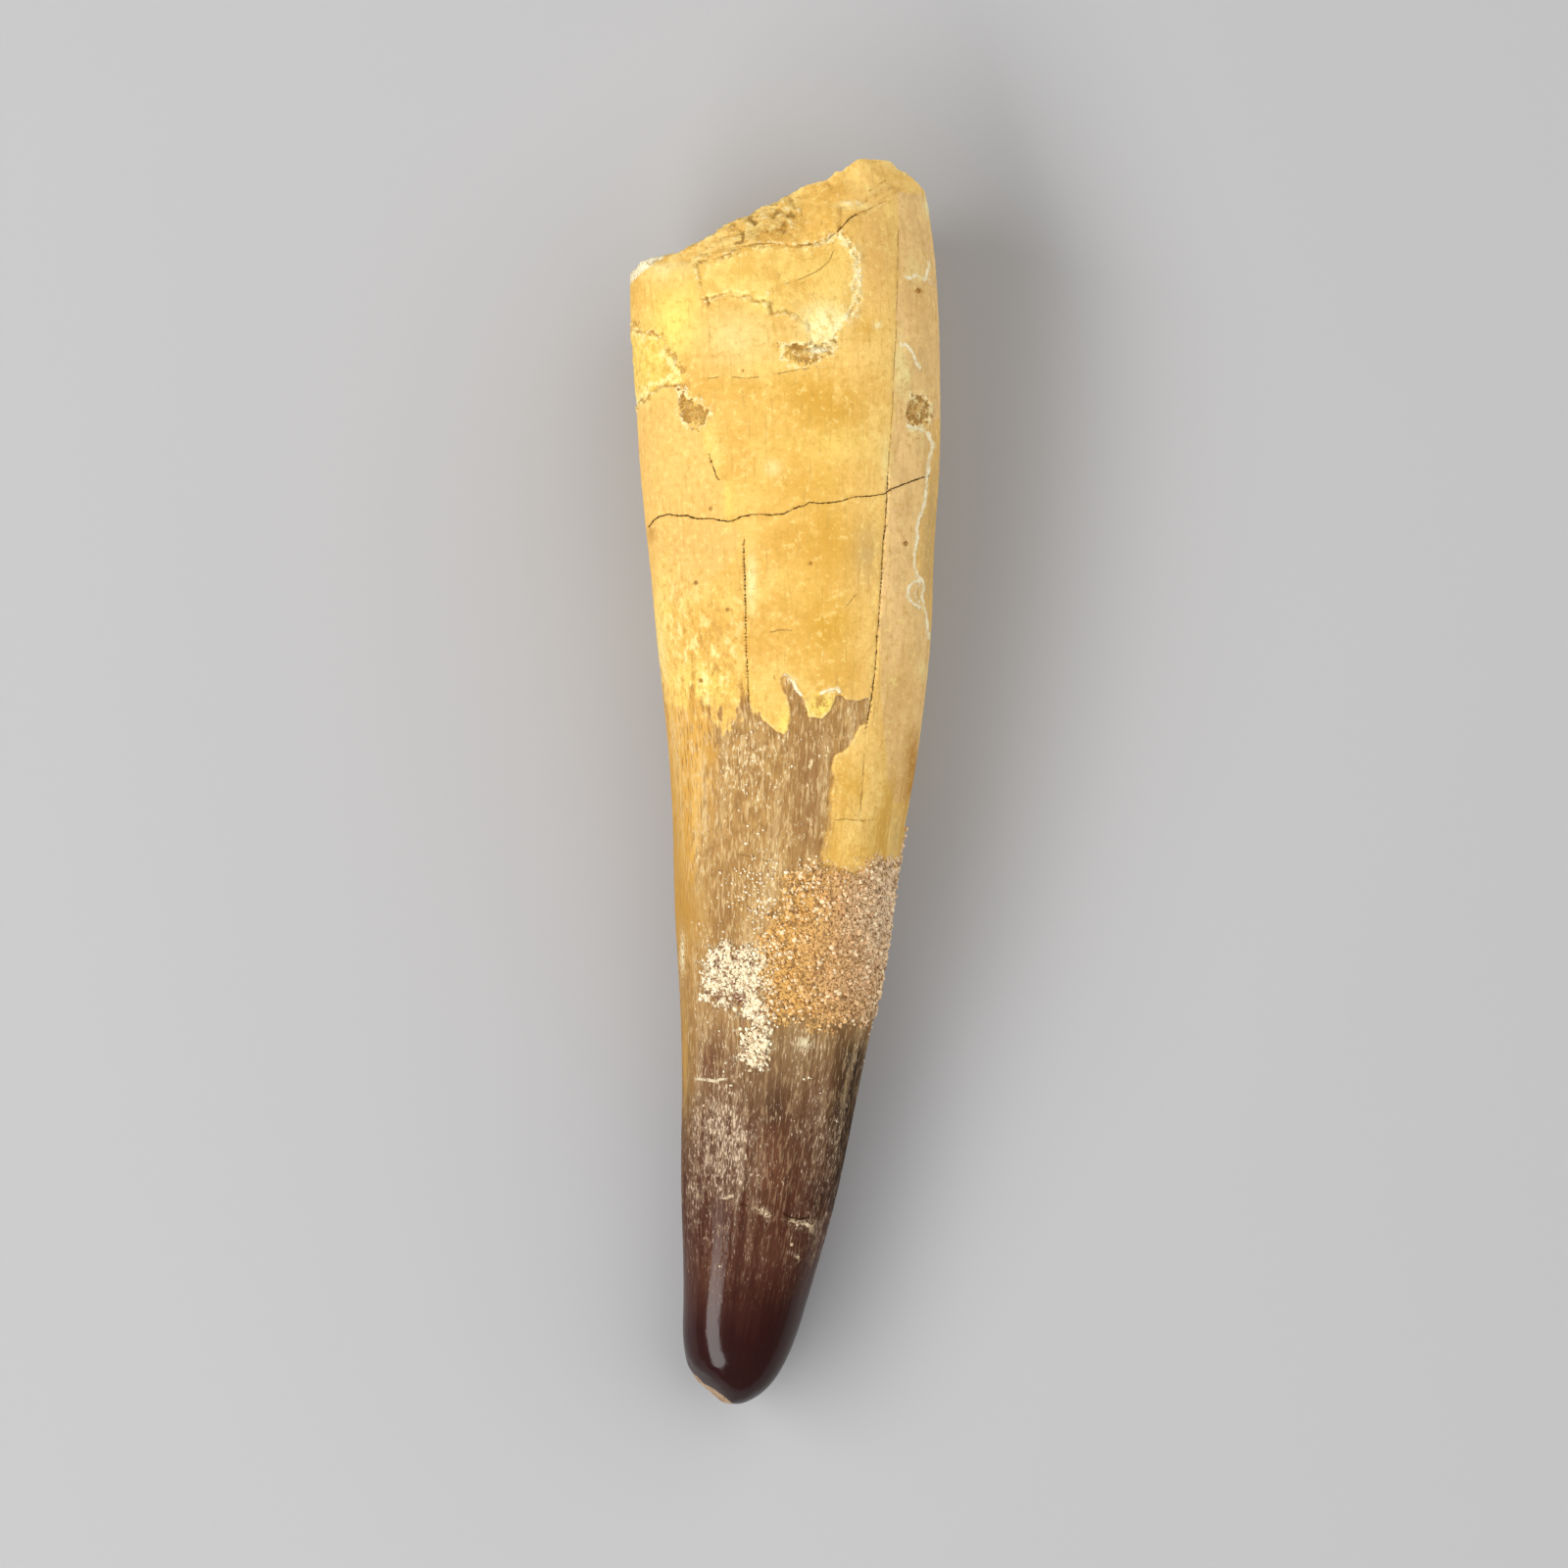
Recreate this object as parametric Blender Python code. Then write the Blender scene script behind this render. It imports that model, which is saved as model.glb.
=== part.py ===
# Spinosaurus tooth: a fossil crown and root in one piece, lying on its flatter side.
#
# Frame: +Y runs from the crown's tip to the broken root end, +X is the convex side of the
# tooth seen from above, +Z points up from the table that it rests on. The origin is under the
# middle of the tooth, at the level of the table. Every size below is in millimetres, and the
# mesh is made in metres.
#
# The tooth starts as a UV sphere. Its south pole becomes the tip, its rings become cross
# sections of crown and root, and the rings near its north pole become the broken end.

import math

import bmesh
import bpy
from mathutils import Vector, noise

MM = 0.001

# Driving dimensions
TOOTH_LENGTH = 140.4
TIP_Y = -TOOTH_LENGTH / 2
TIP_LENGTH = 9.0            # over this length the tip rounds off
SECTION_POWER_TOP = 2.35    # 2 is an ellipse, more is boxier
SECTION_POWER_BELLY = 2.15
BELLY_FLAT = 0.35           # how much the resting side is worn away, which leaves a flat strip
TIP_LIFT = 1.6              # the tip curves up off the table by this much
TIP_LIFT_FROM = -22.0       # where along Y that curve begins
TIP_LIFT_POWER = 1.6        # and how it gathers: 1 is a straight slope
BREAK_MIDDLE_Y = 64.0       # the broken end is a rough slope: its height at x = 0,
BREAK_TILT = 0.33           # its rise along X,
BACK_DROP = 5.0             # and how much lower it runs on the belly side

# Rows of the sphere that each stretch of the tooth takes
SEGMENTS = 64
TIP_ROWS = 8
BODY_ROWS = 44
BREAK_ROWS = 8
RIM_ROW = TIP_ROWS + BODY_ROWS
ROWS = RIM_ROW + BREAK_ROWS

# Cross sections: Y, left edge X, right edge X, thickness in Z
SECTIONS = (
    (-70.2, -11.9, 0.3, 11.0),
    (-61.2, -11.3, 1.8, 12.6),
    (-50.7, -11.4, 5.0, 14.6),
    (-41.9, -11.4, 7.0, 16.2),
    (-33.1, -11.4, 8.8, 17.8),
    (-24.3, -11.6, 10.6, 19.4),
    (-15.5, -12.0, 12.0, 20.8),
    (-6.7, -12.3, 13.4, 22.0),
    (2.1, -12.8, 15.0, 23.2),
    (10.9, -13.6, 16.1, 24.2),
    (19.7, -14.6, 16.8, 25.0),
    (28.5, -15.3, 17.2, 25.6),
    (37.3, -16.2, 17.6, 26.0),
    (46.1, -16.8, 17.7, 26.2),
    (54.9, -17.4, 17.4, 26.2),
    (70.2, -18.2, 16.0, 25.6),
)

# The broken root end as it shows from above: X, Y
BREAK_EDGE = (
    (-17.6, 57.5),
    (-15.0, 59.4),
    (-12.4, 59.8),
    (-8.0, 63.2),
    (-4.4, 66.0),
    (-1.2, 66.0),
    (0.8, 67.1),
    (4.2, 67.5),
    (6.4, 68.7),
    (8.0, 70.1),
    (12.6, 69.9),
    (14.2, 68.4),
    (16.2, 66.4),
    (17.0, 62.0),
)

# Where the break's worn slope starts on the upper side, and how steeply it falls back
SLOPE_LINE = (
    (-12.4, 60.0),
    (-8.0, 58.3),
    (-4.2, 59.8),
    (3.6, 60.1),
    (7.0, 62.8),
    (12.2, 65.0),
    (16.4, 66.4),
    (17.0, 74.0),
    (-14.0, 74.0),
)
SLOPE_FALL = 0.5

# Relief on the upper side: outline in X, Y, then height (negative is sunk) and ramp width
UPPER_RELIEF = {
    "spall": (
        ((-9.8, 58.1), (-4.2, 59.8), (3.6, 60.1), (7.4, 60.0), (8.5, 57.5), (8.1, 52.7),
         (5.8, 49.2), (2.9, 49.2), (0.3, 52.2), (-2.4, 53.4), (-8.6, 53.7)),
        -0.55, 1.6),
    "flake scar at the left edge": (
        ((-19.0, 51.3), (-14.4, 50.4), (-12.6, 47.6), (-10.8, 45.4), (-13.0, 44.4),
         (-16.2, 42.4), (-19.0, 42.4)),
        -0.6, 1.6),
    "pit left": (((-11.4, 43.8), (-9.2, 42.2), (-8.9, 40.2), (-10.9, 40.2)), -0.8, 1.8),
    "pit under the spall": (((0.0, 48.6), (5.2, 48.6), (4.6, 46.9), (1.4, 46.7)), -0.8, 1.6),
    "pit right": (((13.7, 43.2), (16.0, 43.2), (16.3, 40.2), (13.9, 40.0)), -0.6, 1.6),
    "bare enamel below the root layer": (
        ((-16.0, 7.0), (-9.0, 8.5), (-2.5, 7.5), (0.4, 5.8), (0.6, 11.0), (2.0, 9.0),
         (9.6, 9.2), (7.6, 4.2), (5.4, 2.0), (5.0, -5.0), (3.0, -9.0), (-16.0, -9.0)),
        -0.3, 1.8),
    "sand crust": (
        ((0.5, -9.5), (5.0, -9.2), (10.0, -8.6), (16.0, -8.0), (14.0, -27.0), (9.0, -26.8),
         (-2.0, -26.0), (-2.4, -18.0), (-1.5, -15.0)),
        0.45, 1.8),
    "pale crust": (
        ((-8.4, -18.8), (-6.2, -17.6), (-2.4, -19.0), (-2.0, -31.0), (-4.4, -31.6),
         (-4.2, -26.0), (-9.0, -23.8)),
        0.35, 1.6),
    "gouge on the crown": (((-0.2, -47.8), (3.6, -48.2), (3.4, -49.4), (0.2, -49.2)), -0.3, 1.4),
}

# Relief on the belly side, read in the same X and Y, as if looking through the tooth
BELLY_RELIEF = {
    "long flake scar": (
        ((-14.5, 52.0), (-9.0, 54.0), (-7.5, 40.0), (-8.8, 24.0), (-12.5, 22.0), (-14.8, 34.0)),
        -0.6, 1.8),
    "spalled corner": (
        ((9.0, 64.0), (16.5, 60.0), (16.0, 46.0), (11.5, 44.0), (8.0, 52.0)),
        -0.8, 1.8),
    "shell of crust": (
        ((6.0, -2.0), (13.0, -4.0), (10.5, -22.0), (5.0, -19.0), (4.0, -9.0)),
        0.45, 1.8),
}

# Chips with one flat face each: a point on the face, and the direction that it looks
CHIPS = {
    "tip": ((-8.1, -68.5, 6.8), (-0.60, -0.72, 0.34)),
    "root corner": ((-15.2, 58.3, 20.2), (-0.38, 0.66, 0.65)),
}

SIDE_FACING = 0.3           # the marks fade out where the surface faces up or down by less than this
LUMP_HEIGHT = 0.22          # slow unevenness of the whole surface
LUMP_SIZE = 11.0
BREAK_ROUGHNESS = 0.9       # unevenness of the broken end
BREAK_LUMP_SIZE = 5.0
RIM_REACH = 6               # the higher, the sooner the rim's own unevenness fades inward
RIM_SHOWS_FROM = 5.2        # above this height the rim turns from rough to the outline seen from above
RIM_BLEND = 6.5
PULP_PIT_DEPTH = 1.6        # the pulp cavity's filling is worn below the rim of the break
PULP_PIT_REACH = 0.5        # share of the break that it takes
NOISE_SHIFT = Vector((3.7, 1.9, 5.3))

FOSSIL_COLOUR = (0.60, 0.36, 0.13, 1.0)
FOSSIL_ROUGHNESS = 0.6
SHARP_ANGLE = math.radians(40)


def ramp(t):
    """Goes smoothly from 0 at t = 0 to 1 at t = 1."""
    t = min(1.0, max(0.0, t))
    return t * t * (3 - 2 * t)


def read_table(table, at):
    """A table's other columns where its first one has this value, along a smooth curve through the rows."""
    last = len(table) - 2
    i = min(last, max(0, sum(row[0] <= at for row in table) - 1))
    before, low, high, after = table[max(0, i - 1)], table[i], table[i + 1], table[min(last + 1, i + 2)]
    span = high[0] - low[0]
    t = min(1.0, max(0.0, (at - low[0]) / span))
    found = []
    for column in range(1, len(low)):
        slope_in = (high[column] - before[column]) / (high[0] - before[0]) * span
        slope_out = (after[column] - low[column]) / (after[0] - low[0]) * span
        found.append(
            low[column] * (1 + 2 * t) * (1 - t) ** 2
            + slope_in * t * (1 - t) ** 2
            + high[column] * t * t * (3 - 2 * t)
            - slope_out * t * t * (1 - t)
        )
    return found


def depth_inside(x, y, outline):
    """How far a point lies inside a closed outline; negative outside it."""
    nearest, inside = math.inf, False
    for (ax, ay), (bx, by) in zip(outline, outline[1:] + outline[:1]):
        t = ((x - ax) * (bx - ax) + (y - ay) * (by - ay)) / ((bx - ax) ** 2 + (by - ay) ** 2)
        t = min(1.0, max(0.0, t))
        nearest = min(nearest, math.hypot(x - ax - t * (bx - ax), y - ay - t * (by - ay)))
        if (ay > y) != (by > y) and x < ax + (y - ay) / (by - ay) * (bx - ax):
            inside = not inside
    return nearest if inside else -nearest


def unevenness(point, size):
    """Smooth noise between about -1 and 1, in lumps of this size."""
    return noise.fractal(Vector(point) / size + NOISE_SHIFT, 1.0, 2.0, 3)


def section_at(y):
    """The cross section at y: its centre's x and z, half its width and half its thickness."""
    left, right, thickness = read_table(SECTIONS, y)
    rounding = math.sqrt(max(0.0, 1 - max(0.0, 1 - (y - TIP_Y) / TIP_LENGTH) ** 2))
    lift = TIP_LIFT * max(0.0, (TIP_LIFT_FROM - y) / (TIP_LIFT_FROM - TIP_Y)) ** TIP_LIFT_POWER
    cx, cz = (left + right) / 2, thickness / 2 - BELLY_FLAT + lift
    return cx, cz, (right - left) / 2 * rounding, thickness / 2 * rounding


def on_section(y, angle):
    """The plain surface point at y and at this angle round the tooth, and the way out of it there."""
    cx, cz, half_width, half_thickness = section_at(y)
    across, up = math.cos(angle), math.sin(angle)
    power = 2 / (SECTION_POWER_TOP if up > 0 else SECTION_POWER_BELLY)
    x = cx + half_width * math.copysign(abs(across) ** power, across)
    z = cz + half_thickness * math.copysign(abs(up) ** power, up)
    outward = Vector((across * max(half_thickness, 1e-6), 0, up * max(half_width, 1e-6))).normalized()
    return Vector((x, y, z)), outward


def relief_at(point, outward):
    """What the relief adds at a surface point: lumps all round, and the marks of the side that it is on."""
    height = LUMP_HEIGHT * unevenness(point, LUMP_SIZE)
    marks, facing = (UPPER_RELIEF, outward.z) if outward.z > 0 else (BELLY_RELIEF, -outward.z)
    share = ramp(facing / SIDE_FACING)
    for outline, rise, width in marks.values():
        height += rise * share * ramp(depth_inside(point.x, point.y, outline) / width + 0.5)
    worn = SLOPE_FALL * share * max(0.0, depth_inside(point.x, point.y, SLOPE_LINE)) if outward.z > 0 else 0.0
    return outward * height - Vector((0, 0, worn))


def break_slope(x, z):
    """Y of the broken end where it is plain: it tilts along X and falls away towards the belly."""
    tilted = min(BREAK_MIDDLE_Y + BREAK_TILT * x, read_table(BREAK_EDGE, x)[0] - BREAK_ROUGHNESS)
    return tilted - BACK_DROP * ramp(1 - z / SECTIONS[-1][3] * 2)


def rim_height(point):
    """Y of the broken end's rim: the photographed outline above, a rough edge below."""
    outline = read_table(BREAK_EDGE, point.x)[0]
    lumps = unevenness((point.x, 0, point.z), BREAK_LUMP_SIZE)
    rough = min(outline, break_slope(point.x, point.z) + BREAK_ROUGHNESS * lumps)
    return rough + (outline - rough) * ramp((point.z - RIM_SHOWS_FROM) / RIM_BLEND)


def side_point(row, angle):
    """A point of the tooth's side: rows run level near the crown and follow the slanting break at the rim."""
    body_start = TIP_Y + TIP_LENGTH
    if row <= TIP_ROWS:
        y = TIP_Y + TIP_LENGTH * (1 - math.cos(math.pi / 2 * row / TIP_ROWS))
    else:
        share = (row - TIP_ROWS) / BODY_ROWS
        level_end = TOOTH_LENGTH / 2 - BACK_DROP
        rim = level_end
        for _ in range(3):
            rim = rim_height(on_section(rim, angle)[0])
        y = body_start + (level_end - body_start) * share + (rim - level_end) * share ** 4
    point, outward = on_section(y, angle)
    return point + relief_at(point, outward)


def break_point(row, angle):
    """A point of the broken end, inward from the rim, rough and worn hollow over the pulp cavity."""
    rim = side_point(RIM_ROW, angle)
    cx, cz, _, _ = section_at(rim.y)
    outwards = (ROWS - row) / BREAK_ROWS
    x, z = cx + (rim.x - cx) * outwards, cz + (rim.z - cz) * outwards
    y = break_slope(x, z) + (rim.y - break_slope(rim.x, rim.z)) * outwards ** RIM_REACH
    away_from_rim = ramp((1 - outwards) * BREAK_ROWS / 2)
    y += away_from_rim * BREAK_ROUGHNESS * (unevenness((x, 0, z), BREAK_LUMP_SIZE) - 0.5)
    y -= PULP_PIT_DEPTH * ramp((PULP_PIT_REACH - outwards) / PULP_PIT_REACH * 2)
    return Vector((x, y, z))


def shape_tooth(bm):
    """Pulls every vertex of the sphere to its place on the tooth."""
    for vertex in bm.verts:
        row = round(ROWS * math.acos(max(-1.0, min(1.0, -vertex.co.z))) / math.pi)
        angle = math.atan2(vertex.co.y, vertex.co.x)
        place = side_point(row, angle) if row <= RIM_ROW else break_point(row, angle)
        place.z = max(0.0, place.z)
        vertex.co = place * MM


def cut_chip(bm, at, facing):
    """Takes off what lies beyond one flat face and closes the cut."""
    cut = bmesh.ops.bisect_plane(
        bm,
        geom=bm.verts[:] + bm.edges[:] + bm.faces[:],
        plane_co=Vector(at) * MM,
        plane_no=Vector(facing),
        clear_outer=True,
    )
    edges = [item for item in cut["geom_cut"] if isinstance(item, bmesh.types.BMEdge)]
    bmesh.ops.holes_fill(bm, edges=edges)


def centre_on_origin(bm):
    """Moves the tooth by a fraction of a millimetre, which puts the middle of its box over the origin."""
    for axis in (0, 1):
        middle = (min(v.co[axis] for v in bm.verts) + max(v.co[axis] for v in bm.verts)) / 2
        for vertex in bm.verts:
            vertex.co[axis] -= middle


def fossil_material():
    material = bpy.data.materials.new("fossil")
    material.use_nodes = True
    shader = material.node_tree.nodes["Principled BSDF"]
    shader.inputs["Base Color"].default_value = FOSSIL_COLOUR
    shader.inputs["Roughness"].default_value = FOSSIL_ROUGHNESS
    shader.inputs["Metallic"].default_value = 0.0
    return material


def make_tooth():
    bm = bmesh.new()
    bmesh.ops.create_uvsphere(bm, u_segments=SEGMENTS, v_segments=ROWS, radius=1.0)
    shape_tooth(bm)
    for at, facing in CHIPS.values():
        cut_chip(bm, at, facing)
    centre_on_origin(bm)
    bmesh.ops.triangulate(bm, faces=bm.faces[:])
    bmesh.ops.recalc_face_normals(bm, faces=bm.faces[:])
    mesh = bpy.data.meshes.new("tooth")
    bm.to_mesh(mesh)
    bm.free()
    mesh.materials.append(fossil_material())
    mesh.shade_smooth()
    mesh.set_sharp_from_angle(angle=SHARP_ANGLE)
    tooth = bpy.data.objects.new("tooth", mesh)
    bpy.context.scene.collection.objects.link(tooth)
    return tooth


for old in list(bpy.data.objects):
    bpy.data.objects.remove(old)
make_tooth()
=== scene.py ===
# %% [markdown]
# # A fossil tooth, from a plain solid to a finished surface
# The object is one large fossil tooth: a dark, glossy crown and a yellow root that is broken
# off at its end. The solid that this script loads has the right size and its main forms. What
# it lacks is everything finer than about two millimetres, and every colour. The cells below
# refine a copy of the solid, carve the fine relief, write down where each mark of the surface
# lies, and build one material that reads those marks.
#
# All places are in millimetres, as seen from above: X to the right, Y up from the crown's tip
# to the broken end. Blender works in metres, so MM turns one into the other.

# %% Load the solid
import math

import bmesh
import bpy
import numpy as np
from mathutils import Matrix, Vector, noise


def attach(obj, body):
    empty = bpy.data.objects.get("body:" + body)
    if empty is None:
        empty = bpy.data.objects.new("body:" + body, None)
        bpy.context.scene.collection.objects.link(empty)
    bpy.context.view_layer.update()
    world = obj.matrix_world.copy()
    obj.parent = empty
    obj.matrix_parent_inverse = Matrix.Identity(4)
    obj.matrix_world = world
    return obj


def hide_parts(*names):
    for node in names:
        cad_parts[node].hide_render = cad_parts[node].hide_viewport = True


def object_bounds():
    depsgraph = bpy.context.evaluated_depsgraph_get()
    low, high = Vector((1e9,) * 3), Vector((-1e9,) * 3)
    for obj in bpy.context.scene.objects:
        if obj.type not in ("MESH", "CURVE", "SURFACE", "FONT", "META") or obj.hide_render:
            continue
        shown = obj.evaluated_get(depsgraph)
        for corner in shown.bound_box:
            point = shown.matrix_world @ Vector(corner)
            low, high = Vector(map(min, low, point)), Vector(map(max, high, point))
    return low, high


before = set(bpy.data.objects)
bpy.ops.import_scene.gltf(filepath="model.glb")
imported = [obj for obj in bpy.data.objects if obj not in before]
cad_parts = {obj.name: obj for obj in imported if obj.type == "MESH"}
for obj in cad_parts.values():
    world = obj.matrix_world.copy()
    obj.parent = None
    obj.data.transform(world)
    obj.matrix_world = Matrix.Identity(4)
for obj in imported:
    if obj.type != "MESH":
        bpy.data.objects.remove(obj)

solid_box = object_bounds()
MM = 0.001
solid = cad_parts["tooth"]
solid_size = [round(c / MM, 1) for c in solid_box[1] - solid_box[0]]
print("solid:", len(solid.data.polygons), "faces,", solid_size, "mm")

# %% [markdown]
# ## A finer copy of the solid
# The real surface is smooth between its marks, while the solid has flat facets up to 3 mm long.
# One way to refine it is a Subdivision Surface modifier, but it makes faces everywhere, also
# where nothing happens. Cutting only the edges that are too long is thriftier: a first pass
# makes them short enough to iron the facets out, and a later pass is fine where marks are.
# The copy is merged first, because the loaded triangles are loose.

# %% Copy, merge and cut the long edges
def cut_long_edges(bm, allowed, turns):
    """Halves the edges that are longer than allowed at their middles, over and over."""
    for _ in range(turns):
        ends = np.array([[*e.verts[0].co, *e.verts[1].co] for e in bm.edges]) / MM
        lengths = np.linalg.norm(ends[:, :3] - ends[:, 3:], axis=1)
        too_long = lengths > allowed((ends[:, :3] + ends[:, 3:]) / 2)
        edges = [e for e, cut in zip(bm.edges, too_long) if cut]
        bmesh.ops.subdivide_edges(bm, edges=edges, cuts=1)
        bmesh.ops.triangulate(bm, faces=[f for f in bm.faces if len(f.verts) > 3])


FIRST_EDGE = 1.5
TOUCHING = 0.001        # vertices closer than this are one
TIP_STARTS = -60.0      # Y; beyond it the solid's triangles are tiny
TIP_MERGE = 0.35        # so there vertices closer than this are made one
SHARP = math.radians(33)
skin = bmesh.new()
skin.from_mesh(solid.data)
bmesh.ops.remove_doubles(skin, verts=skin.verts, dist=TOUCHING * MM)
at_tip = [v for v in skin.verts if v.co.y < TIP_STARTS * MM]
bmesh.ops.remove_doubles(skin, verts=at_tip, dist=TIP_MERGE * MM)
for edge in skin.edges:
    edge.smooth = edge.calc_face_angle(0.0) < SHARP
cut_long_edges(skin, lambda middles: FIRST_EDGE, turns=5)
print("first cut:", len(skin.faces), "triangles")

# %% [markdown]
# Smoothing pulls every vertex towards its neighbours, which irons the facets out. It would also
# wear down the rim of the break and the chipped corner, and shorten the tip, so those get a few
# rounds only.

# %% Iron the facets out
ROUNDS, TIP_ROUNDS, RIM_ROUNDS = 14, 4, 2
ROOT_STARTS = 40.0      # crisp edges are kept above this Y
crisp = {v for e in skin.edges if not e.smooth for v in e.verts if v.co.y > ROOT_STARTS * MM}
for turn in range(ROUNDS):
    moved = [v for v in skin.verts if turn < RIM_ROUNDS or turn < TIP_ROUNDS and v not in crisp
             or v not in crisp and v.co.y > TIP_STARTS * MM]
    bmesh.ops.smooth_vert(skin, verts=moved, factor=0.5, use_axis_x=True, use_axis_y=True, use_axis_z=True)
print("vertices on crisp edges:", len(crisp))

# %% [markdown]
# ## Where the marks are
# Each mark is an outline or a line drawn over the tooth as seen from above. The two
# sides of the tooth have their own drawings, "upper" and "belly", both in the same X and Y, as
# if looking through the tooth. The first outlines are the root layer, a golden skin that laps
# over the crown with a ragged border, and the places where it spalled, flaked or was pitted.

# %% The root layer and its damage
RING_CORNERS = 8


def ring(x, y, radius):
    """A small round outline."""
    turns = [corner * math.tau / RING_CORNERS for corner in range(RING_CORNERS)]
    return [(x + radius * math.cos(turn), y + radius * math.sin(turn)) for turn in turns]


AREAS = {
    "root layer": {
        "upper": [[(-22, 10), (-13, 10), (-11, 9.5), (-9, 8), (-7, 7.5), (-5, 8.3), (-3, 8), (-2, 7),
                   (-1, 6), (0, 5.5), (0.6, 6), (0.8, 7.5), (0.6, 8.5), (0.2, 10), (-0.3, 11.5),
                   (0, 12.3), (0.6, 11.8), (1.2, 10.6), (2, 9.6), (2.4, 8.5), (2.8, 7.5), (4.2, 7.4),
                   (5.2, 8.2), (5.8, 9.6), (6.2, 10), (7, 9.4), (8.5, 9.3), (9.4, 9.6), (9.6, 8.6),
                   (9.2, 7), (8.2, 6.2), (7.7, 5), (6.8, 3.8), (5.6, 3.2), (5.3, 2), (5.7, 0.5),
                   (5.4, -1), (5.3, -3), (5, -5), (4.6, -6.5), (4.2, -7.5), (4.6, -9), (8, -9.8),
                   (10, -8.8), (22, -8.5), (22, 90), (-22, 90)]],
        "belly": [[(-22, 10), (-12, 9), (-9, 5.5), (-7, 6), (-5, 1), (-3, 2.5), (0, -1), (2, 3.5),
                   (4, 2), (6, -3), (8, -2), (11, -8), (22, -8.5), (22, 90), (-22, 90)]],
    },
    # a rough sunken field under the break, and a spalled corner on the belly
    "spall": {
        "upper": [[(-9.8, 58.1), (-8, 58.3), (-6, 58.9), (-4.2, 59.8), (-2, 60), (2, 59.8), (3.6, 60.1),
                   (5, 60.6), (6.2, 61.2), (7.6, 59.8), (8.3, 58.6), (8.4, 56.6), (7.9, 55.4),
                   (8.3, 53.8), (8, 52.6), (6.8, 51.3), (6, 50.4), (5.8, 49.2), (4.5, 48.6), (2.9, 49),
                   (2.7, 50.2), (1.4, 51.3), (0.3, 52.2), (-1.2, 52.2), (-2.4, 53.4), (-4.5, 54),
                   (-6.5, 54.1), (-8.2, 53.8), (-8.7, 53.4), (-9.5, 55.2)]],
        "belly": [[(9, 64), (17.5, 60), (17.2, 46), (11.5, 44), (8, 52)]],
    },
    # where a flake came off
    "flake": {
        "upper": [[(-20, 51.4), (-17, 51.4), (-16, 50.6), (-14.4, 50.4), (-13.6, 49.6), (-13, 48.2),
                   (-12, 47.2), (-11.2, 46.2), (-10.8, 45.4), (-11.2, 44.3), (-13, 44.5), (-14.3, 44),
                   (-15.3, 43.2), (-16.2, 42.2), (-20, 42.2)]],
        "belly": [[(-14.5, 52), (-9, 54), (-7.5, 40), (-8.8, 24), (-12.5, 22), (-14.8, 34)]],
    },
    "pit": {
        "upper": [[(-11.4, 43.8), (-10.6, 42.6), (-9.2, 42), (-8.8, 41.2), (-9, 40.2), (-9.8, 39.6),
                   (-10.8, 40.3), (-11.4, 41.5)],
                  [(0, 48.5), (1.2, 48.6), (2.6, 48.3), (5, 48.7), (5.2, 47.8), (3.6, 47.2),
                   (1.8, 46.8), (0.2, 47.4)],
                  [(13.8, 41.4), (14, 42.8), (14.9, 43.4), (15.8, 43), (16.2, 41.8), (15.9, 40.3),
                   (14.6, 40)]],
        "belly": [[(2, 30), (3.4, 30.6), (4, 29.4), (2.8, 28.6)]],
    },
    # single pores of the bone
    "pore": {
        "upper": [ring(3, 24.5, 0.22), ring(-9.8, 22.4, 0.12), ring(-8.2, 30.6, 0.14),
                  ring(13.6, 26.8, 0.2), ring(15, 55, 0.2), ring(-6.9, 62.8, 0.3),
                  ring(-5.5, 62.2, 0.25), ring(-8.6, 54, 0.12), ring(-8.3, 53.4, 0.12),
                  ring(10.4, 16.4, 0.14), ring(-4.6, 45.9, 0.12), ring(-6.3, 19.4, 0.2),
                  ring(-9.3, 11.5, 0.18)],
        "belly": [ring(-4, 36, 0.2), ring(3, 12, 0.15)],
    },
}
print(len(AREAS), "areas of the root layer")

# %% [markdown]
# The break slopes away at the top and was worn round before the tooth was buried. Its hollow is
# pitted, and a narrow step runs along its right side. Two chips are flat: one at the very tip and
# one at the root's corner.

# %% The break and the chips
AREAS.update({
    "worn slope": {
        "upper": [[(-12.6, 60), (-9.8, 58.1), (-8, 58.3), (-6, 58.9), (-4.2, 59.8), (-2, 60), (2, 59.8),
                   (3.6, 60.1), (5, 60.6), (6, 61.5), (6.2, 64.4), (7.5, 65), (8.8, 65.4), (10, 66.2),
                   (11.5, 67.3), (13.4, 66.8), (16.6, 66.2), (18, 74), (-14, 74)]],
        "belly": [],
    },
    "pitted slope": {
        "upper": [[(-8, 61.5), (-5.5, 59.8), (-2, 60.2), (2, 60.3), (2.4, 62.5), (1, 65), (0, 68),
                   (-8, 68)]],
        "belly": [],
    },
    "tip chip": {
        "upper": [[(-10.9, -66), (-9.8, -66.7), (-9, -67.6), (-8, -68.1), (-7.3, -68.7), (-6.5, -69.3),
                   (-5.8, -69.9), (-6.4, -72), (-12, -70)]],
        "belly": [[(-10.8, -66.4), (-8.2, -67), (-6, -70), (-6.4, -72), (-12, -70)]],
    },
    "corner chip": {
        "upper": [[(-19, 56.1), (-17.3, 56.1), (-16, 56.9), (-14.7, 57.9), (-13.5, 58.9), (-12.2, 59.9),
                   (-12, 62), (-19, 62)]],
        "belly": [[(-19, 54), (-13, 59), (-13, 62), (-19, 62)]],
    },
    "step": {
        "upper": [[(6, 61.4), (6.2, 64.3), (7.2, 64.5), (8, 64.7), (10, 65.7), (12.2, 66.8),
                   (13.5, 66.4), (11.7, 65.2), (9, 63.4), (7.4, 63), (6.5, 61.9)]],
        "belly": [],
    },
})
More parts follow.
